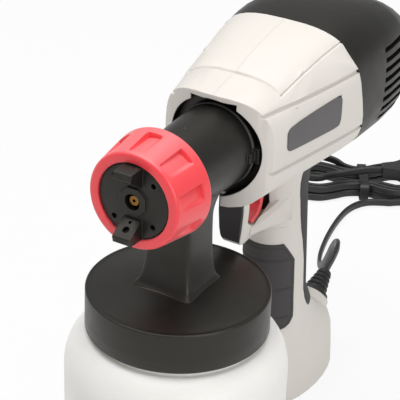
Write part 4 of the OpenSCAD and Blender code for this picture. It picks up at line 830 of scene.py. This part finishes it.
class SPRAYER_OT_cap_nut(Operator):
    """Cap nut with its ring of grip pockets"""

    bl_idname = "sprayer.cap_nut"
    bl_label = "Cap Nut"

    def execute(self, context):
        nut = context.scene.sprayer_nut
        half_sector = math.pi / nut.sectors
        turns = [-1 + 2 * i / NUT_ACROSS for i in range(NUT_ACROSS + 1)]
        # The rows lie closer together towards the front and rear edges
        shares = [k / NUT_ROWS for k in range(NUT_ROWS + 1)]
        stations = [round(0.25 - 0.25 * math.cos(math.pi * s) + 0.5 * s, 6) for s in shares]

        def ring(y, radii):
            return [(r * math.sin(t * half_sector), y, r * math.cos(t * half_sector))
                    for r, t in zip(radii, turns)]

        def plain(y, r):
            return ring(y, [r] * len(turns))

        # Depth and radius up the bore from the seat, and from the rear rim in to the seat
        inner = [(14 * MM, NUT_BORE), (0.4 * MM, NUT_BORE), (0.0, NUT_BORE + 0.4 * MM)]
        rear = [(0.0, NUT_R - 3.4 * MM), (-4 * MM, NUT_R - 4.8 * MM), (-4 * MM, NUT_STEP_R),
                (0.0, NUT_STEP_R), (0.0, NUT_SEAT_R), (-19 * MM, NUT_SEAT_R)]
        rings = [plain(NUT_FRONT + y, r) for y, r in inner]
        rings += [ring(NUT_FRONT + along * NUT_LENGTH, [nut_radius(nut, along, t) for t in turns])
                  for along in stations]
        rings += [plain(NUT_REAR + y, r) for y, r in rear]
        rings += [plain(NUT_FRONT + 5 * MM, r) for r in (NUT_SEAT_R, NUT_BORE)]
        sector = scene_object("nut_sector", mesh_from(skin_of(rings, False)[0], "nut_sector", 40))
        mesh = grown(make_ring_of_copies(), bpy.data.meshes.new("nut_base"), {
            "Part": sector, "Count": nut.sectors, "Centre": (0, 0, AXIS_Z), "Merge": 2e-5,
            "Material": finish_of("red")}, "cap_nut_grip")
        bpy.data.objects.remove(sector)
        clean = bmesh.new()
        clean.from_mesh(mesh)
        bmesh.ops.remove_doubles(clean, verts=clean.verts, dist=2e-5)
        bmesh.ops.recalc_face_normals(clean, faces=clean.faces)
        clean.to_mesh(mesh)
        clean.free()
        smooth_by_angle(mesh, 40)
        new_piece("cap_nut_grip", mesh, "nut", "red", "cap_nut")
        return {"FINISHED"}


# ---------- spray head and air cap ----------
# Barrel, in millimetres: depth and radius, with the nut's thread in front
BARREL = [(-38, 21.5), (-19.4, 21.5), (-18.6, 20.6), (-10, 20.9), (0, 21.4), (10, 21.95),
          (20, 22.5), (30, 22.95), (34, 23.0), (56.6, 23.0), (57, 22.6)]
# Lid, in millimetres: height above the rim and radius of its dome, skirt and inside
DOME = [(5.5, 0.02), (5.5, 12), (5.15, 18), (4.4, 23), (3.4, 29), (2.2, 35), (1.2, 40),
        (0.45, 44), (0.05, 46), (-0.28, 47.5), (-0.25, 48.1)]
SKIRT = [(-8, 50.08), (-15, 50.14), (-22.4, 50.2), (-23, 49.8), (-23, 46.4), (-21, 46.3),
         (-6, 46.3), (-5, 44)]
SKIRT_R = 50.2
# The neck's column, in millimetres, and the count of its levels
NECK_HALF, NECK_LEVELS = 13.2, 60
# Bayonet lugs, in millimetres: near and far depth, reach from the axis and half height
LUGS = [(32.5, 39.4, 26.6, 4.2), (27.5, 33, 24.4, 2.6)]
LUG_ROOT_R, GATE_MARK_R = 21, 1.0
# Air cap: radii of its rim, its bore, its boss at root and tip and its air holes, the radius of
# their circle, and half the width of a horn
CAP_R, CAP_BORE_R, BOSS_R, BOSS_TIP_R = 20.2 * MM, 4.4 * MM, 8.7 * MM, 8.1 * MM
AIR_HOLE_R, AIR_CIRCLE_R, HORN_HALF_W = 1.5 * MM, 16 * MM, 5.2 * MM
# A horn's side, in millimetres: depth from the cap's face and radius
HORN = [(0.8, 9.3), (-1.2, 9.3), (-10.6, 15.6), (-10.9, 16.4), (-10.2, 19.3), (-9.2, 19.7),
        (0.8, 19.9)]
# A horn's holes, in millimetres: depth and radius where they open, and their own radius
HORN_HOLES = [(-2.9, 10.4, 0.85), (-6.5, 12.9, 1.8)]
# Grooves across a horn's tip, in millimetres: the first one's place, their pitch and half width
TIP_GROOVES, TIP_FROM, TIP_PITCH, TIP_HALF_W = 3, 16.9, 0.85, 0.14


def lid_profile():
    """Height and radius down the lid: dome, raised rounded rim, skirt and its inside."""
    angles = [math.radians(d) for d in range(135, -1, -15)]
    rim = [(-0.95 + math.sin(a), 49.0 + math.cos(a)) for a in angles]
    return [(RIM_Z + h * MM, r * MM * LID_R / (SKIRT_R * MM)) for h, r in DOME + rim + SKIRT]


def neck_rings():
    """Rings of the neck between lid and barrel, flared where it meets each of them."""
    low, high = RIM_Z + 2.5 * MM, AXIS_Z - 8 * MM
    rings = []
    for k in range(NECK_LEVELS + 1):
        z = low + (high - low) * (k / NECK_LEVELS) ** 1.35
        # Added to the column: a fillet at the lid, a slow flare above it, and one at the barrel
        h = max(0.0, (z - RIM_Z - 4.8 * MM) / MM)
        foot = max(0.0, 1 - h / 3.0) ** 2
        fall = math.exp(-h / 8.5)
        top = max(0.0, (z - (AXIS_Z - 30 * MM)) / (12 * MM)) ** 2
        half_w = NECK_HALF + 3.9 * fall + foot + 1.6 * min(top, 1.2)
        front = -NECK_HALF - 5.2 * fall - foot - 1.5 * min(top, 1.0)
        rear = NECK_HALF + 0.9 * fall + foot + 3.2 * min(top, 1.6)
        centre, half_d = (front + rear) / 2, (rear - front) / 2
        rings.append([(half_w * MM * power(c, 0.2), (centre + half_d * power(s, 0.2)) * MM, z)
                      for c, s in circle(96, 0.5)])
    return rings


class SPRAYER_OT_spray_head(Operator):
    """Lid, neck and barrel in one moulding"""

    bl_idname = "sprayer.spray_head"
    bl_label = "Spray Head"

    def execute(self, context):
        lugs = [block((side * LUG_ROOT_R * MM, near * MM, AXIS_Z - half * MM),
                      (side * reach * MM, far * MM, AXIS_Z + half * MM))
                for side in (1, -1) for near, far, reach, half in LUGS]
        gate = bmesh.new()
        bmesh.ops.create_uvsphere(gate, u_segments=16, v_segments=8, radius=GATE_MARK_R * MM,
                                  matrix=Matrix.Translation((0, 2 * MM, AXIS_Z + 21.2 * MM)))
        barrel = turned_rings([(y * MM, r * MM) for y, r in BARREL], "Y")
        parts = [capped(turned_rings(lid_profile(), "Z")), capped(neck_rings()), capped(barrel),
                 gate, *lugs]
        name = "spray_head_moulding"
        head = new_piece(name, joined(name, parts), "head", "black", "spray_head")
        rounded(head, context.scene.sprayer_finish.edge * 0.9, angle=50)
        return {"FINISHED"}


class SPRAYER_OT_air_cap(Operator):
    """Air cap: a disc with a boss, four holes and two drilled horns"""

    bl_idname = "sprayer.air_cap"
    bl_label = "Air Cap"

    def execute(self, context):
        face, ahead = NUT_FRONT + 1 * MM, (0, -1, 0)
        disc = [(0, 0.01 * MM), (0, CAP_R - 0.5 * MM), (0.15, CAP_R - 0.15 * MM), (0.5, CAP_R),
                (4.4, CAP_R), (4.4, CAP_R + 1.3 * MM), (6.6, CAP_R + 1.3 * MM), (6.6, 0.01 * MM)]
        boss = (Matrix.Translation((0, face - 0.1 * MM, AXIS_Z))
                @ Matrix.Rotation(math.pi / 2, 4, "X") @ Matrix.Rotation(math.pi / 8, 4, "Z"))
        solids = [capped(turned_rings([(face + y * MM, r) for y, r in disc], "Y", 96)),
                  cone(boss, BOSS_R, BOSS_TIP_R, 2.4 * MM, 8)]
        cutters = [drill((0, face + 4 * MM, AXIS_Z), ahead, CAP_BORE_R, 12 * MM, 48)]
        for turn in (45, 135, 225, 315):
            a = math.radians(turn)
            spot = (AIR_CIRCLE_R * math.sin(a), face + 4 * MM, AXIS_Z + AIR_CIRCLE_R * math.cos(a))
            cutters.append(drill(spot, ahead, AIR_HOLE_R, 10 * MM))
        for side in (1, -1):
            outline = [(face + y * MM, AXIS_Z + side * r * MM) for y, r in HORN]
            solids.append(capped([[(x, y, z) for y, z in outline]
                                  for x in (-HORN_HALF_W, HORN_HALF_W)]))
            # The holes are square to the horn's inner face
            aim = Vector((0, -0.555, side * -0.83))
            for y, r, hole in HORN_HOLES:
                start = Vector((0, face + y * MM, AXIS_Z + side * r * MM)) - aim * 3 * MM
                cutters.append(drill(start, aim, hole * MM, 8 * MM))
            for i in range(TIP_GROOVES):
                at, floor = AXIS_Z + side * (TIP_FROM + TIP_PITCH * i) * MM, 10.45 - 0.22 * i
                cutters.append(block((-4 * MM, face - 12 * MM, at - TIP_HALF_W * MM),
                                     (4 * MM, face - floor * MM, at + TIP_HALF_W * MM)))
        name = "air_cap_moulding"
        cap = new_piece(name, carved(name, solids, cutters), "aircap", "cap", "air_cap")
        rounded(cap, 0.25 * MM, angle=40)
        return {"FINISHED"}


# ---------- housing ----------
# Ring that closes the body's mouth round the barrel, in millimetres: depth and radius
# Its black stands partly for the black socket parts inside the mouth and partly for painted shade
# in the cavity behind it
SOCKET_COLLAR = [(38.7, 23.25), (39.8, 23.25), (39.8, 27.9), (38.7, 27.9), (38.7, 23.25)]
# How far the filter's walls run forward, and its rows: share of that reach and inset of the wall
FILTER_REACH = 41.8 * MM
FILTER_ROWS = [(0, 3.5), (1, 3.5), (1, 0.2), (0, 0.2)]
FILTER_REAR_INSET = 1.4
LABEL_CORNER = 3.2 * MM


def round_corners(mesh, radius):
    """Rounds the corners of a thin upright plate, whose corner edges run across it."""
    made = bmesh.new()
    made.from_mesh(mesh)
    corners = []
    for side in made.edges:
        run = side.verts[1].co - side.verts[0].co
        if abs(run.x) > 0.75 * run.length and run.length < 4 * MM:
            corners.append(side)
    bmesh.ops.bevel(made, geom=corners, offset=radius, offset_type="OFFSET", segments=6,
                    profile=0.5, affect="EDGES")
    made.to_mesh(mesh)
    made.free()


def filter_basket():
    """Foam filter: the CAD's pad at the rear, and walls forward from it behind the louvres."""
    low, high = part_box("air_filter")
    middle = (low.z + high.z) / 2
    rings = []
    rows = [(low.y - share * FILTER_REACH, inset) for share, inset in FILTER_ROWS]
    for y, inset in rows + [(high.y, FILTER_REAR_INSET)]:
        half_w, half_h = high.x - inset * MM, (high.z - low.z) / 2 - inset * MM
        rings.append([(half_w * power(c, 2 / 3), y, middle + half_h * power(s, 2 / 3))
                      for c, s in circle(64)])
    return mesh_from(capped(rings), "filter_basket", 40)


class SPRAYER_OT_housing(Operator):
    """Both body shells, the label plates, the rear cover and its filter"""

    bl_idname = "sprayer.housing"
    bl_label = "Housing"

    def execute(self, context):
        edge = context.scene.sprayer_finish.edge
        for side in ("left", "right"):
            refined(f"shell_{side}", "shell", "body", f"housing_{side}", bevel=edge)
            name, node = f"label_{side}", f"label_plate_{side}"
            mesh = node_mesh(name, node)
            round_corners(mesh, LABEL_CORNER)
            smooth_by_angle(mesh, 32)
            rounded(new_piece(name, mesh, "body", "label", node), edge * 0.6, angle=34)
        refined("rear_cover_moulding", "black", "body", "rear_cover", bevel=edge * 0.8)
        rings = turned_rings([(y * MM, r * MM) for y, r in SOCKET_COLLAR], "Y", 96)
        collar = mesh_from(skin_of(rings)[0], "socket_collar")
        new_piece("socket_collar", collar, "body", "black")
        new_piece("filter_basket", filter_basket(), "body", "foam", "air_filter")
        return {"FINISHED"}


# ---------- grips ----------
# Handle, in millimetres: height, and what its front, rear and half width add to a 44 by 34 oval
HANDLE = [(48, -3.5, 17, 2.2), (58, -1.5, 8, 1), (75, 0, 0, 0), (146, 0, 0, 0),
          (160, -1, 1, 1.5), (172, -4, 3, 5)]
GRIP_HALF_D, GRIP_HALF_W, GRIP_MID, GRIP_RAKE, RAKE_FROM = 22, 17, 114, 0.0986, 75
# Side borders of the grips and of the skin above the front one: height and depth
FRONT_BORDER = [(54.6, 94), (55.0, 97.5), (56.0, 102), (58, 105.4), (62, 107.7), (68, 107.6),
                (88, 106), (103.5, 104.7), (116.9, 95.6)]
REAR_BORDER = [(59.6, 127.5), (63, 124), (68, 121.2), (75, 119.6), (96, 117.4), (112, 113.2),
               (122, 109.4), (132, 107.4), (142, 106), (154.5, 103), (168.6, 103)]
SKIN_BORDER = [(70, 107.8), (108, 106), (128.3, 96.4)]
# Finger grooves, in millimetres: heights, depth and width, how they fade in, and the swell beside
FINGER_GROOVES = [64.2, 84.6, 105.6]
GROOVE_DEPTH, GROOVE_WIDTH, GROOVE_FADE = 0.85, 0.7, 1.2
SWELL, SWELL_AT, SWELL_WIDTH = 0.22, 2.2, 1.3
# The line that runs round inside the front grip's border: depth, distance and width
LINE_DEPTH, LINE_AT, LINE_WIDTH = 0.45, 2.6, 0.42
# A pad: distances of its points from its border, their pitch and count beyond, the radius of its
# rim, how its border and back lie under the skin, and the handle's mean radius
PAD_EDGES = [0, 0.12, 0.3, 0.55, 0.85, 1.2, 1.6, 2.0, 2.3, 2.6, 2.9, 3.3]
PAD_PITCH, PAD_STEPS, PAD_RIM, PAD_BORDER, PAD_BACK, HANDLE_R = 0.6, 26, 1.1, -0.8, -1.1, 20


def handle_section(z):
    """Front, rear and half width of the handle at a height."""
    middle = GRIP_MID - (z - RAKE_FROM) * GRIP_RAKE
    return (middle - GRIP_HALF_D + read_at(HANDLE, z, 1),
            middle + GRIP_HALF_D + read_at(HANDLE, z, 2), GRIP_HALF_W + read_at(HANDLE, z, 3))


def handle_spot(z, turn, side, proud):
    """A point on the handle's skin: its turn goes from the front (-90) to the rear (90)."""
    front, rear, half_w = handle_section(z)
    centre, half_d = (front + rear) / 2, (rear - front) / 2
    c, s = max(0.0, math.cos(turn)), math.sin(turn)
    out = Vector((c / half_w, s / half_d, 0)).normalized() * proud
    return (side * (half_w * c ** 0.9 + out.x) * MM, (centre + half_d * s + out.y) * MM, z * MM)


def border_turn(border, z):
    """Turn at which a border runs at a height."""
    front, rear, _ = handle_section(z)
    share = (read_at(border, z) * 2 - front - rear) / (rear - front)
    return math.asin(max(-1.0, min(1.0, share)))


def pad_lift(z, inward, edge, proud, grooves):
    """Height of a pad over the handle's skin, at a distance inward from its side border."""
    fall = 1 - min(1.0, edge / PAD_RIM)
    lift = proud * math.sqrt(max(0.0, 1 - fall ** 2)) if edge > 0 else PAD_BORDER
    reach = max(0.0, min(1.0, (inward - LINE_AT) / GROOVE_FADE))
    for place in grooves:
        gap = abs(z - place)
        lift -= GROOVE_DEPTH * math.exp(-(gap / GROOVE_WIDTH) ** 2) * reach
        lift += SWELL * math.exp(-((gap - SWELL_AT) / SWELL_WIDTH) ** 2) * reach
    if grooves:
        lift -= LINE_DEPTH * math.exp(-((edge - LINE_AT) / LINE_WIDTH) ** 2)
    return lift


def handle_pad(border, facing, proud, grooves):
    """A closed pad on the handle, from one side border round its front (-1) or rear (1)."""
    low, high, start = border[0][0], border[-1][0], facing * math.pi / 2
    middle = high - low - 2 * PAD_EDGES[-1]
    count = int(middle / PAD_PITCH)
    heights = ([low + e for e in PAD_EDGES]
               + [low + PAD_EDGES[-1] + middle * i / count for i in range(1, count)]
               + [high - e for e in reversed(PAD_EDGES)])
    rings = []
    for z in heights:
        limit = border_turn(border, z)
        arc = abs(limit - start) * HANDLE_R
        shares = [min(0.45, e / arc) for e in PAD_EDGES]
        shares += [shares[-1] + (1 - shares[-1]) * (i + 1) / PAD_STEPS for i in range(PAD_STEPS)]
        row = [(limit + (start - limit) * share,
                pad_lift(z, share * arc, min(share * arc, z - low, high - z), proud, grooves))
               for share in shares]
        back = [(turn, PAD_BACK) for turn, _ in row]
        rings.append([handle_spot(z, turn, side, lift) for side, points in (
            (1, row), (-1, row[-2::-1]), (-1, back), (1, back[-2::-1])) for turn, lift in points])
    return capped(rings)


class SPRAYER_OT_grips(Operator):
    """Over-moulded grips, the skin above the front one and the pad on the trigger guard"""

    bl_idname = "sprayer.grips"
    bl_label = "Grips"

    def execute(self, context):
        for name, key, border, facing, proud, grooves, nodes in (
                ("front_grip_rubber", "rubber", FRONT_BORDER, -1, 0.95, FINGER_GROOVES,
                 ["front_grip"]),
                ("rear_grip_rubber", "rubber", REAR_BORDER, 1, 0.4, (), ["rear_grip"]),
                ("handle_front_skin", "shell", SKIN_BORDER, -1, 0.04, (), [])):
            mesh = mesh_from(handle_pad(border, facing, proud, grooves), name, 50)
            new_piece(name, mesh, "body", key, *nodes)
        edge = context.scene.sprayer_finish.edge
        refined("guard_pad_rubber", "rubber", "body", "guard_pad", bevel=edge)
        return {"FINISHED"}


class SPRAYER_OT_trigger(Operator):
    """Trigger blade and its springs"""

    bl_idname = "sprayer.trigger"
    bl_label = "Trigger"

    def execute(self, context):
        edge = context.scene.sprayer_finish.edge
        refined("trigger_blade", "red", "trigger_lever", "trigger", bevel=edge * 1.4)
        for node, body in (("needle_spring", "needle_rod"), ("trigger_spring", "trigger_lever")):
            refined(node + "_coil", "steel", body, node, bevel=0, angle=70)
        return {"FINISHED"}


class SPRAYER_OT_jar(Operator):
    """Paint jar"""

    bl_idname = "sprayer.jar"
    bl_label = "Jar"

    def execute(self, context):
        refined("jar_blown", "jar", "jar_body", "jar", angle=40)
        return {"FINISHED"}


class SPRAYER_OT_screws(Operator):
    """Shell screws"""

    bl_idname = "sprayer.screws"
    bl_label = "Screws"

    def execute(self, context):
        refined("screws_zinc", "steel", "body", "shell_screws", bevel=0.2 * MM)
        return {"FINISHED"}


# ---------- mains lead ----------
# Route of the free lead from the strain relief's tip to the hank, in millimetres
ROUTE = [(0, 186, 49.5), (0, 191.2, 52.5), (0, 196.4, 55.2), (-1.4, 204, 56.8), (-4.6, 212, 55.8),
         (-9, 219.6, 52), (-14, 226.6, 45.5), (-18.4, 232.2, 37.6), (-22.6, 237.6, 29),
         (-27.2, 243.4, 19.8), (-32.4, 250.2, 11.6), (-38, 258.4, 5.9), (-43, 267.4, 3.6),
         (-47.4, 278, 3.1), (-51.4, 291, 3.1), (-55, 305, 3.1), (-58, 320, 3.1), (-60, 334, 3.2),
         (-60.6, 347.4, 3.4), (-58.6, 359.2, 3.6), (-53, 369, 3.8), (-43.8, 375.4, 3.8),
         (-38.9, 378, 3.8)]
# The last half loop, over the top of the hank to the plug, in the hank's own frame
HANK_TAIL = [(-17.5, -7.7, 16.7), (-11, -6.2, 17.2), (-4, -5.9, 18.3), (3, -5.9, 19.7),
             (9, -5.9, 20.7), (13, -5.9, 21), (19, -5.9, 21)]
HANK_ANGLE = math.radians(30)
# The hank's drawn-in waist: radius of its bend and half width
WAIST_R, WAIST_W = 40.0, 4.5
RINGS_TO_LOOP = 24


def loop_point(i, lobe, s):
    """Point i of 24 round a loop that lies s outside the hank's inner one."""
    lobe_x = math.sqrt((lobe + WAIST_R) ** 2 - (WAIST_W + WAIST_R) ** 2)
    lean = math.asin(lobe_x / (lobe + WAIST_R))
    if i < 2 or i > 22:
        a = lean * (i if i < 2 else i - RINGS_TO_LOOP) / 2
        return (WAIST_R - s) * math.sin(a), (WAIST_R - s) * math.cos(a) - WAIST_W - WAIST_R
    if i <= 10:
        b = (math.pi / 2 + lean) * (i - 6) / 4
        return lobe_x + (lobe + s) * math.cos(b), (lobe + s) * math.sin(b)
    if i < 14:
        a = lean * (12 - i) / 2
        return (WAIST_R - s) * math.sin(a), WAIST_W + WAIST_R - (WAIST_R - s) * math.cos(a)
    b = math.pi + (math.pi / 2 + lean) * (i - 18) / 4
    return (lobe + s) * math.cos(b) - lobe_x, (lobe + s) * math.sin(b)


def hank_path(lead):
    """Centre line of the hank in its own frame: two lobes joined by two drawn-in runs."""
    lead_w, step = lead.width / MM, lead.step / MM
    layer_z, layer_rise = lead_w / 2 + 0.9, lead_w + 0.6
    first, last = 3, RINGS_TO_LOOP * lead.loops - 2
    half_way = RINGS_TO_LOOP // 2 * lead.loops

    def spread(k):
        if k > last - 8:
            return spread(last - 8) - 1.5 * (k - last + 8)
        return step * abs(k - half_way) / RINGS_TO_LOOP

    rings = []
    for k in range(first, last + 1):
        layers = ease((k - half_way + 2) / 4) + ease((k - last + 10) / 3)
        flat = loop_point(k % RINGS_TO_LOOP, lead.lobe / MM, spread(k))
        rings.append(Vector((*flat, layer_z + layer_rise * layers)))
    start = rings[0] - lead_w * (rings[1] - rings[0]).normalized()
    return [Vector((start.x, start.y, layer_z))] + rings + [Vector(p) for p in HANK_TAIL]


def smooth_through(points, steps):
    """A Catmull-Rom curve through points."""
    ends = [2 * points[0] - points[1], *points, 2 * points[-1] - points[-2]]
    made = []
    for a, b, c, d in zip(ends, ends[1:], ends[2:], ends[3:]):
        for i in range(steps):
            t = i / steps
            made.append(0.5 * (2 * b + (c - a) * t + (2 * a - 5 * b + 4 * c - d) * t * t
                               + (3 * b - a - 3 * c + d) * t * t * t))
    return made + [points[-1]]


def lead_path(lead):
    """The whole lead's centre line, in metres."""
    hank = hank_path(lead)
    turn = Matrix.Rotation(HANK_ANGLE, 3, "Z")
    shift = Vector(ROUTE[-1]) - turn @ hank[0]
    shift.z = 0
    points = [Vector(p) for p in ROUTE[:-1]] + [turn @ p + shift for p in hank]
    return [p * MM for p in smooth_through(points, 5)]


def lead_outline(lead):
    """Section of the flat two-core lead: two round cores with a shallow groove between them."""
    half_t, half_w = lead.thickness / 2, lead.width / 2
    return [(half_t * power(c, 0.62) * (1 - 0.10 * max(0.0, 1 - (s / 0.35) ** 2)),
             half_w * power(s, 0.9), 0) for c, s in circle(28)]


class SPRAYER_OT_lead(Operator):
    """Mains lead with its strain relief, hank, tie and plug"""

    bl_idname = "sprayer.lead"
    bl_label = "Mains Lead"

    def execute(self, context):
        lead = context.scene.sprayer_lead
        path = lead_path(lead)
        profile = scene_object("lead_section", polyline("lead_section", lead_outline(lead), True))
        mesh = grown(make_swept_profile(), polyline("lead_line", path),
                     {"Profile": profile, "Material": finish_of("lead")}, "mains_lead")
        bpy.data.objects.remove(profile)
        smooth_by_angle(mesh, 50)
        flex = new_piece("mains_lead", mesh, "body", "lead", "mains_cord", "cord_hank")
        refined("strain_relief_sleeve", "lead", "body", "strain_relief", bevel=0.3 * MM)
        tie = refined("hank_tie", "lead", "body", "cord_tie", bevel=0.2 * MM)
        plug = refined("plug_moulding", "lead", "body", "plug", bevel=0.6 * MM)
        pins = refined("plug_pin_pair", "nickel", "body", "plug_pins", bevel=0.3 * MM)
        length = sum((b - a).length for a, b in zip(path, path[1:]))
        return {"FINISHED"}


class SPRAYER_OT_inner_finishes(Operator):
    """Finishes for the pieces inside, which keep their CAD shapes"""

    bl_idname = "sprayer.inner_finishes"
    bl_label = "Inner Finishes"

    def execute(self, context):
        for key, nodes in INNER_NODES.items():
            for node in nodes:
                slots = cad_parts[node].data.materials
                if not slots:
                    slots.append(None)
                for i in range(len(slots)):
                    slots[i] = finish_of(key)
        return {"FINISHED"}


# ---------- stage ----------
def camera_axes(stage):
    """Rotation of the camera from its yaw, pitch and roll."""
    cy, sy, cp, sp = (f(a) for a in (stage.yaw, stage.pitch) for f in (math.cos, math.sin))
    back = Vector((sy * cp, -cy * cp, sp))
    right = Vector((0, 0, 1)).cross(back).normalized()
    up = back.cross(right)
    cr, sr = math.cos(stage.roll), math.sin(stage.roll)
    return Matrix((cr * right + sr * up, -sr * right + cr * up, back)).transposed()


def lamp(name, place, aim, size, power_w):
    """A white square lamp at a place, turned to an aim."""
    data = bpy.data.lights.new(name, "AREA")
    data.shape, data.size, data.energy = "SQUARE", size, power_w
    made = scene_object(name, data)
    made.location = place
    made.rotation_euler = (Vector(aim) - Vector(place)).to_track_quat("-Z", "Y").to_euler()


def backdrop_material():
    """White to the camera but for the object's soft shadow, and a pale floor to all else."""
    material = bpy.data.materials.new("pale_floor")
    material.use_nodes = True
    tree = material.node_tree
    tree.nodes.clear()
    pale = fill(add(tree, "ShaderNodeBsdfDiffuse"), Color=(0.78, 0.78, 0.78))
    rays = add(tree, "ShaderNodeLightPath")
    camera, glossy, through = (Signal(tree, rays.outputs[f"Is {kind} Ray"])
                               for kind in ("Camera", "Glossy", "Transmission"))
    seen = camera.math("MAXIMUM", glossy.math("MAXIMUM", through)) * 0.86
    both = add(tree, "ShaderNodeMixShader")
    link(tree, (seen, both, 0), (pale, 0, both, 1), (add(tree, "ShaderNodeEmission"), 0, both, 2),
         (both, 0, add(tree, "ShaderNodeOutputMaterial"), "Surface"))
    return material


def room_light(strength):
    """A world that lights evenly from all round and is white to the camera."""
    world = bpy.data.worlds.new("room")
    world.use_nodes = True
    tree = world.node_tree
    tree.nodes.clear()
    glow, white = (fill(add(tree, "ShaderNodeBackground"), Color=(1, 1, 1), Strength=value)
                   for value in (strength, 1.0))
    both = add(tree, "ShaderNodeMixShader")
    link(tree, (add(tree, "ShaderNodeLightPath"), "Is Camera Ray", both, 0), (glow, 0, both, 1),
         (white, 0, both, 2), (both, 0, add(tree, "ShaderNodeOutputWorld"), "Surface"))
    return world


class SPRAYER_OT_stage(Operator):
    """Floor, soft studio light and camera"""

    bl_idname = "sprayer.stage"
    bl_label = "Stage"

    def execute(self, context):
        scene, stage = context.scene, context.scene.sprayer_stage
        made = bmesh.new()
        bmesh.ops.create_grid(made, x_segments=1, y_segments=1, size=6)
        mesh = plain_mesh(made, "floor")
        mesh.transform(Matrix.Translation((0, 0, -0.2 * MM)))
        mesh.materials.append(backdrop_material())
        floor = scene_object("floor", mesh)
        lamp("overhead_lamp", (-0.15, -0.1, 1.6), (0, 0.05, 0.15), 1.6, stage.overhead)
        lamp("side_lamp", (1.5, -0.6, 0.7), (0, 0.05, 0.18), 1.2, stage.side)
        scene.world = room_light(stage.sky)
        data = bpy.data.cameras.new("view")
        data.lens, data.sensor_width = stage.lens, 36
        data.clip_start, data.clip_end = 0.05, 20
        scene.camera = scene_object("view", data)
        scene.camera.matrix_world = (Matrix.Translation(stage.place)
                                     @ camera_axes(stage).to_4x4())
        scene.view_settings.view_transform = "Standard"
        return {"FINISHED"}


# ---------- panel and registration ----------
BUILDERS = (
    SPRAYER_OT_stage, SPRAYER_OT_inner_finishes, SPRAYER_OT_lead, SPRAYER_OT_housing,
    SPRAYER_OT_grips, SPRAYER_OT_spray_head, SPRAYER_OT_air_cap, SPRAYER_OT_cap_nut,
    SPRAYER_OT_trigger, SPRAYER_OT_jar, SPRAYER_OT_screws,
)
SETTINGS = {"sprayer_finish": SprayerFinish, "sprayer_nut": SprayerNut,
            "sprayer_lead": SprayerLead, "sprayer_stage": SprayerStage}


class SPRAYER_PT_panel(Panel):
    """Lists the sprayer's settings and its builders"""

    bl_idname = "SPRAYER_PT_panel"
    bl_label = "Paint Sprayer"
    bl_space_type = "VIEW_3D"
    bl_region_type = "UI"
    bl_category = "Sprayer"

    def draw(self, context):
        for name, settings in SETTINGS.items():
            box = self.layout.box()
            box.label(text=settings.__doc__)
            for prop in settings.__annotations__:
                box.prop(getattr(context.scene, name), prop)
        for builder in BUILDERS:
            self.layout.operator(builder.bl_idname)


CLASSES = (*SETTINGS.values(), *BUILDERS, SPRAYER_PT_panel)


def register():
    for made in CLASSES:
        bpy.utils.register_class(made)
    for name, settings in SETTINGS.items():
        setattr(bpy.types.Scene, name, PointerProperty(type=settings))


def unregister():
    for name in SETTINGS:
        delattr(bpy.types.Scene, name)
    for made in reversed(CLASSES):
        bpy.utils.unregister_class(made)


def main():
    register()
    for builder in BUILDERS:
        group, name = builder.bl_idname.split(".")
        getattr(getattr(bpy.ops, group), name)()


if __name__ == "__main__":
    main()
